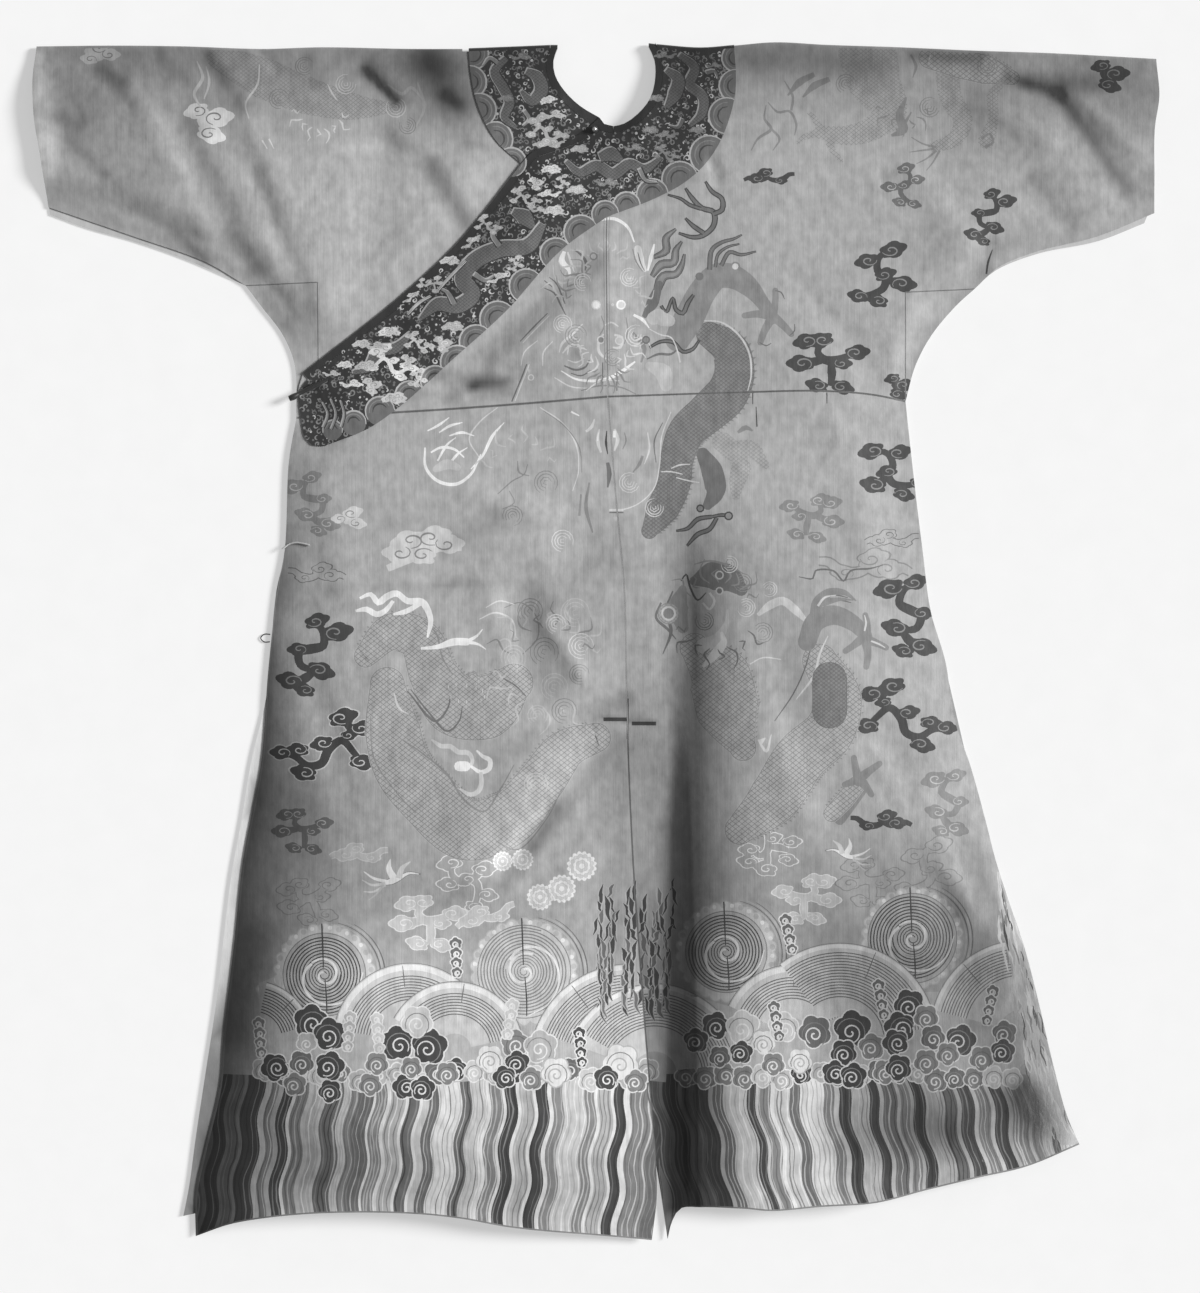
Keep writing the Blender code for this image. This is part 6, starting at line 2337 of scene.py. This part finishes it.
def button():
    """The fluted button ball and the loop round it, both on the highest point of the band under them."""
    steps = (-LOOP_REACH, 0, LOOP_REACH)
    foot = GAP + max(float(band_height(BUTTON_AT.x + dx, BUTTON_AT.y + dy)) for dx in steps for dy in steps)
    profile = []
    for turn in np.arange(1, 20) * math.pi / 20:
        radius = BUTTON_RADIUS - BUTTON_GROOVE + BUTTON_GROOVE * math.cos(turn * BUTTON_LOBES)
        profile.append((radius * math.sin(turn), foot + BUTTON_RADIUS * (1 - math.cos(turn))))
    stand_in(turned("neck_button_ball", profile, brass()), "neck_button")
    ring = polar(*BUTTON_AT, LOOP_RADIUS, np.arange(48) * math.pi / 24)
    route = [(x, y, foot + LOOP_CORD, LOOP_CORD) for x, y in ring]
    stand_in(tube("neck_loop_cord", route, FINISHES["binding"], 4, closed=True), "neck_loop")


def floor():
    """A plain pale ground."""
    square = ((-1, -1), (1, -1), (1, 1), (-1, 1))
    corners = [(x * FLOOR_REACH, y * FLOOR_REACH, -FLOOR_BELOW) for x, y in square]
    mesh = bpy.data.meshes.new("floor")
    mesh.from_pydata(corners, [], [(0, 1, 2, 3)])
    paper = Finish("paper", 0.9, Emission_Strength=1.0)
    paper.feed("Base Color", paper.blend(paper.noise((30, 30, 30), 4.0), 0.40, 0.43))
    paper.feed("Emission Color", paper.blend(paper.noise((18, 18, 18), 4.0), 0.44, 0.46))
    mesh.materials.append(paper.material)
    add_object("floor", mesh)


def lights():
    sun = bpy.data.lights.new("key", "SUN")
    sun.energy = KEY_STRENGTH
    sun.angle = KEY_SOFTNESS
    low = math.cos(KEY_RISE)
    towards = Vector((math.cos(KEY_SIDE) * low, math.sin(KEY_SIDE) * low, math.sin(KEY_RISE)))
    add_object("key", sun).rotation_euler = towards.to_track_quat("Z", "Y").to_euler()
    world = bpy.data.worlds.new("studio")
    world.use_nodes = True
    fill = world.node_tree.nodes["Background"].inputs
    fill["Color"].default_value = grey(1.0)
    fill["Strength"].default_value = FILL_STRENGTH
    bpy.context.scene.world = world
    bpy.context.scene.view_settings.view_transform = "Standard"


def camera():
    """A long lens straight above."""
    lens = bpy.data.cameras.new("camera")
    lens.lens = CAMERA_LENS
    lens.clip_end = CAMERA_REACH
    made = add_object("camera", lens)
    made.location = (CAMERA_AT.x * MM, CAMERA_AT.y * MM, CAMERA_HEIGHT)
    bpy.context.scene.camera = made


build_cloth()
cord("side_fastening", SIDE_FASTENING, band_height, "binding", "side_fastening")
cord("hip_loop", HIP_LOOP, left_height, "soft", "hip_loop")
cord("edge_loop", EDGE_LOOP, lambda x, y: 0.0, "binding", None)
button()
floor()
lights()
camera()
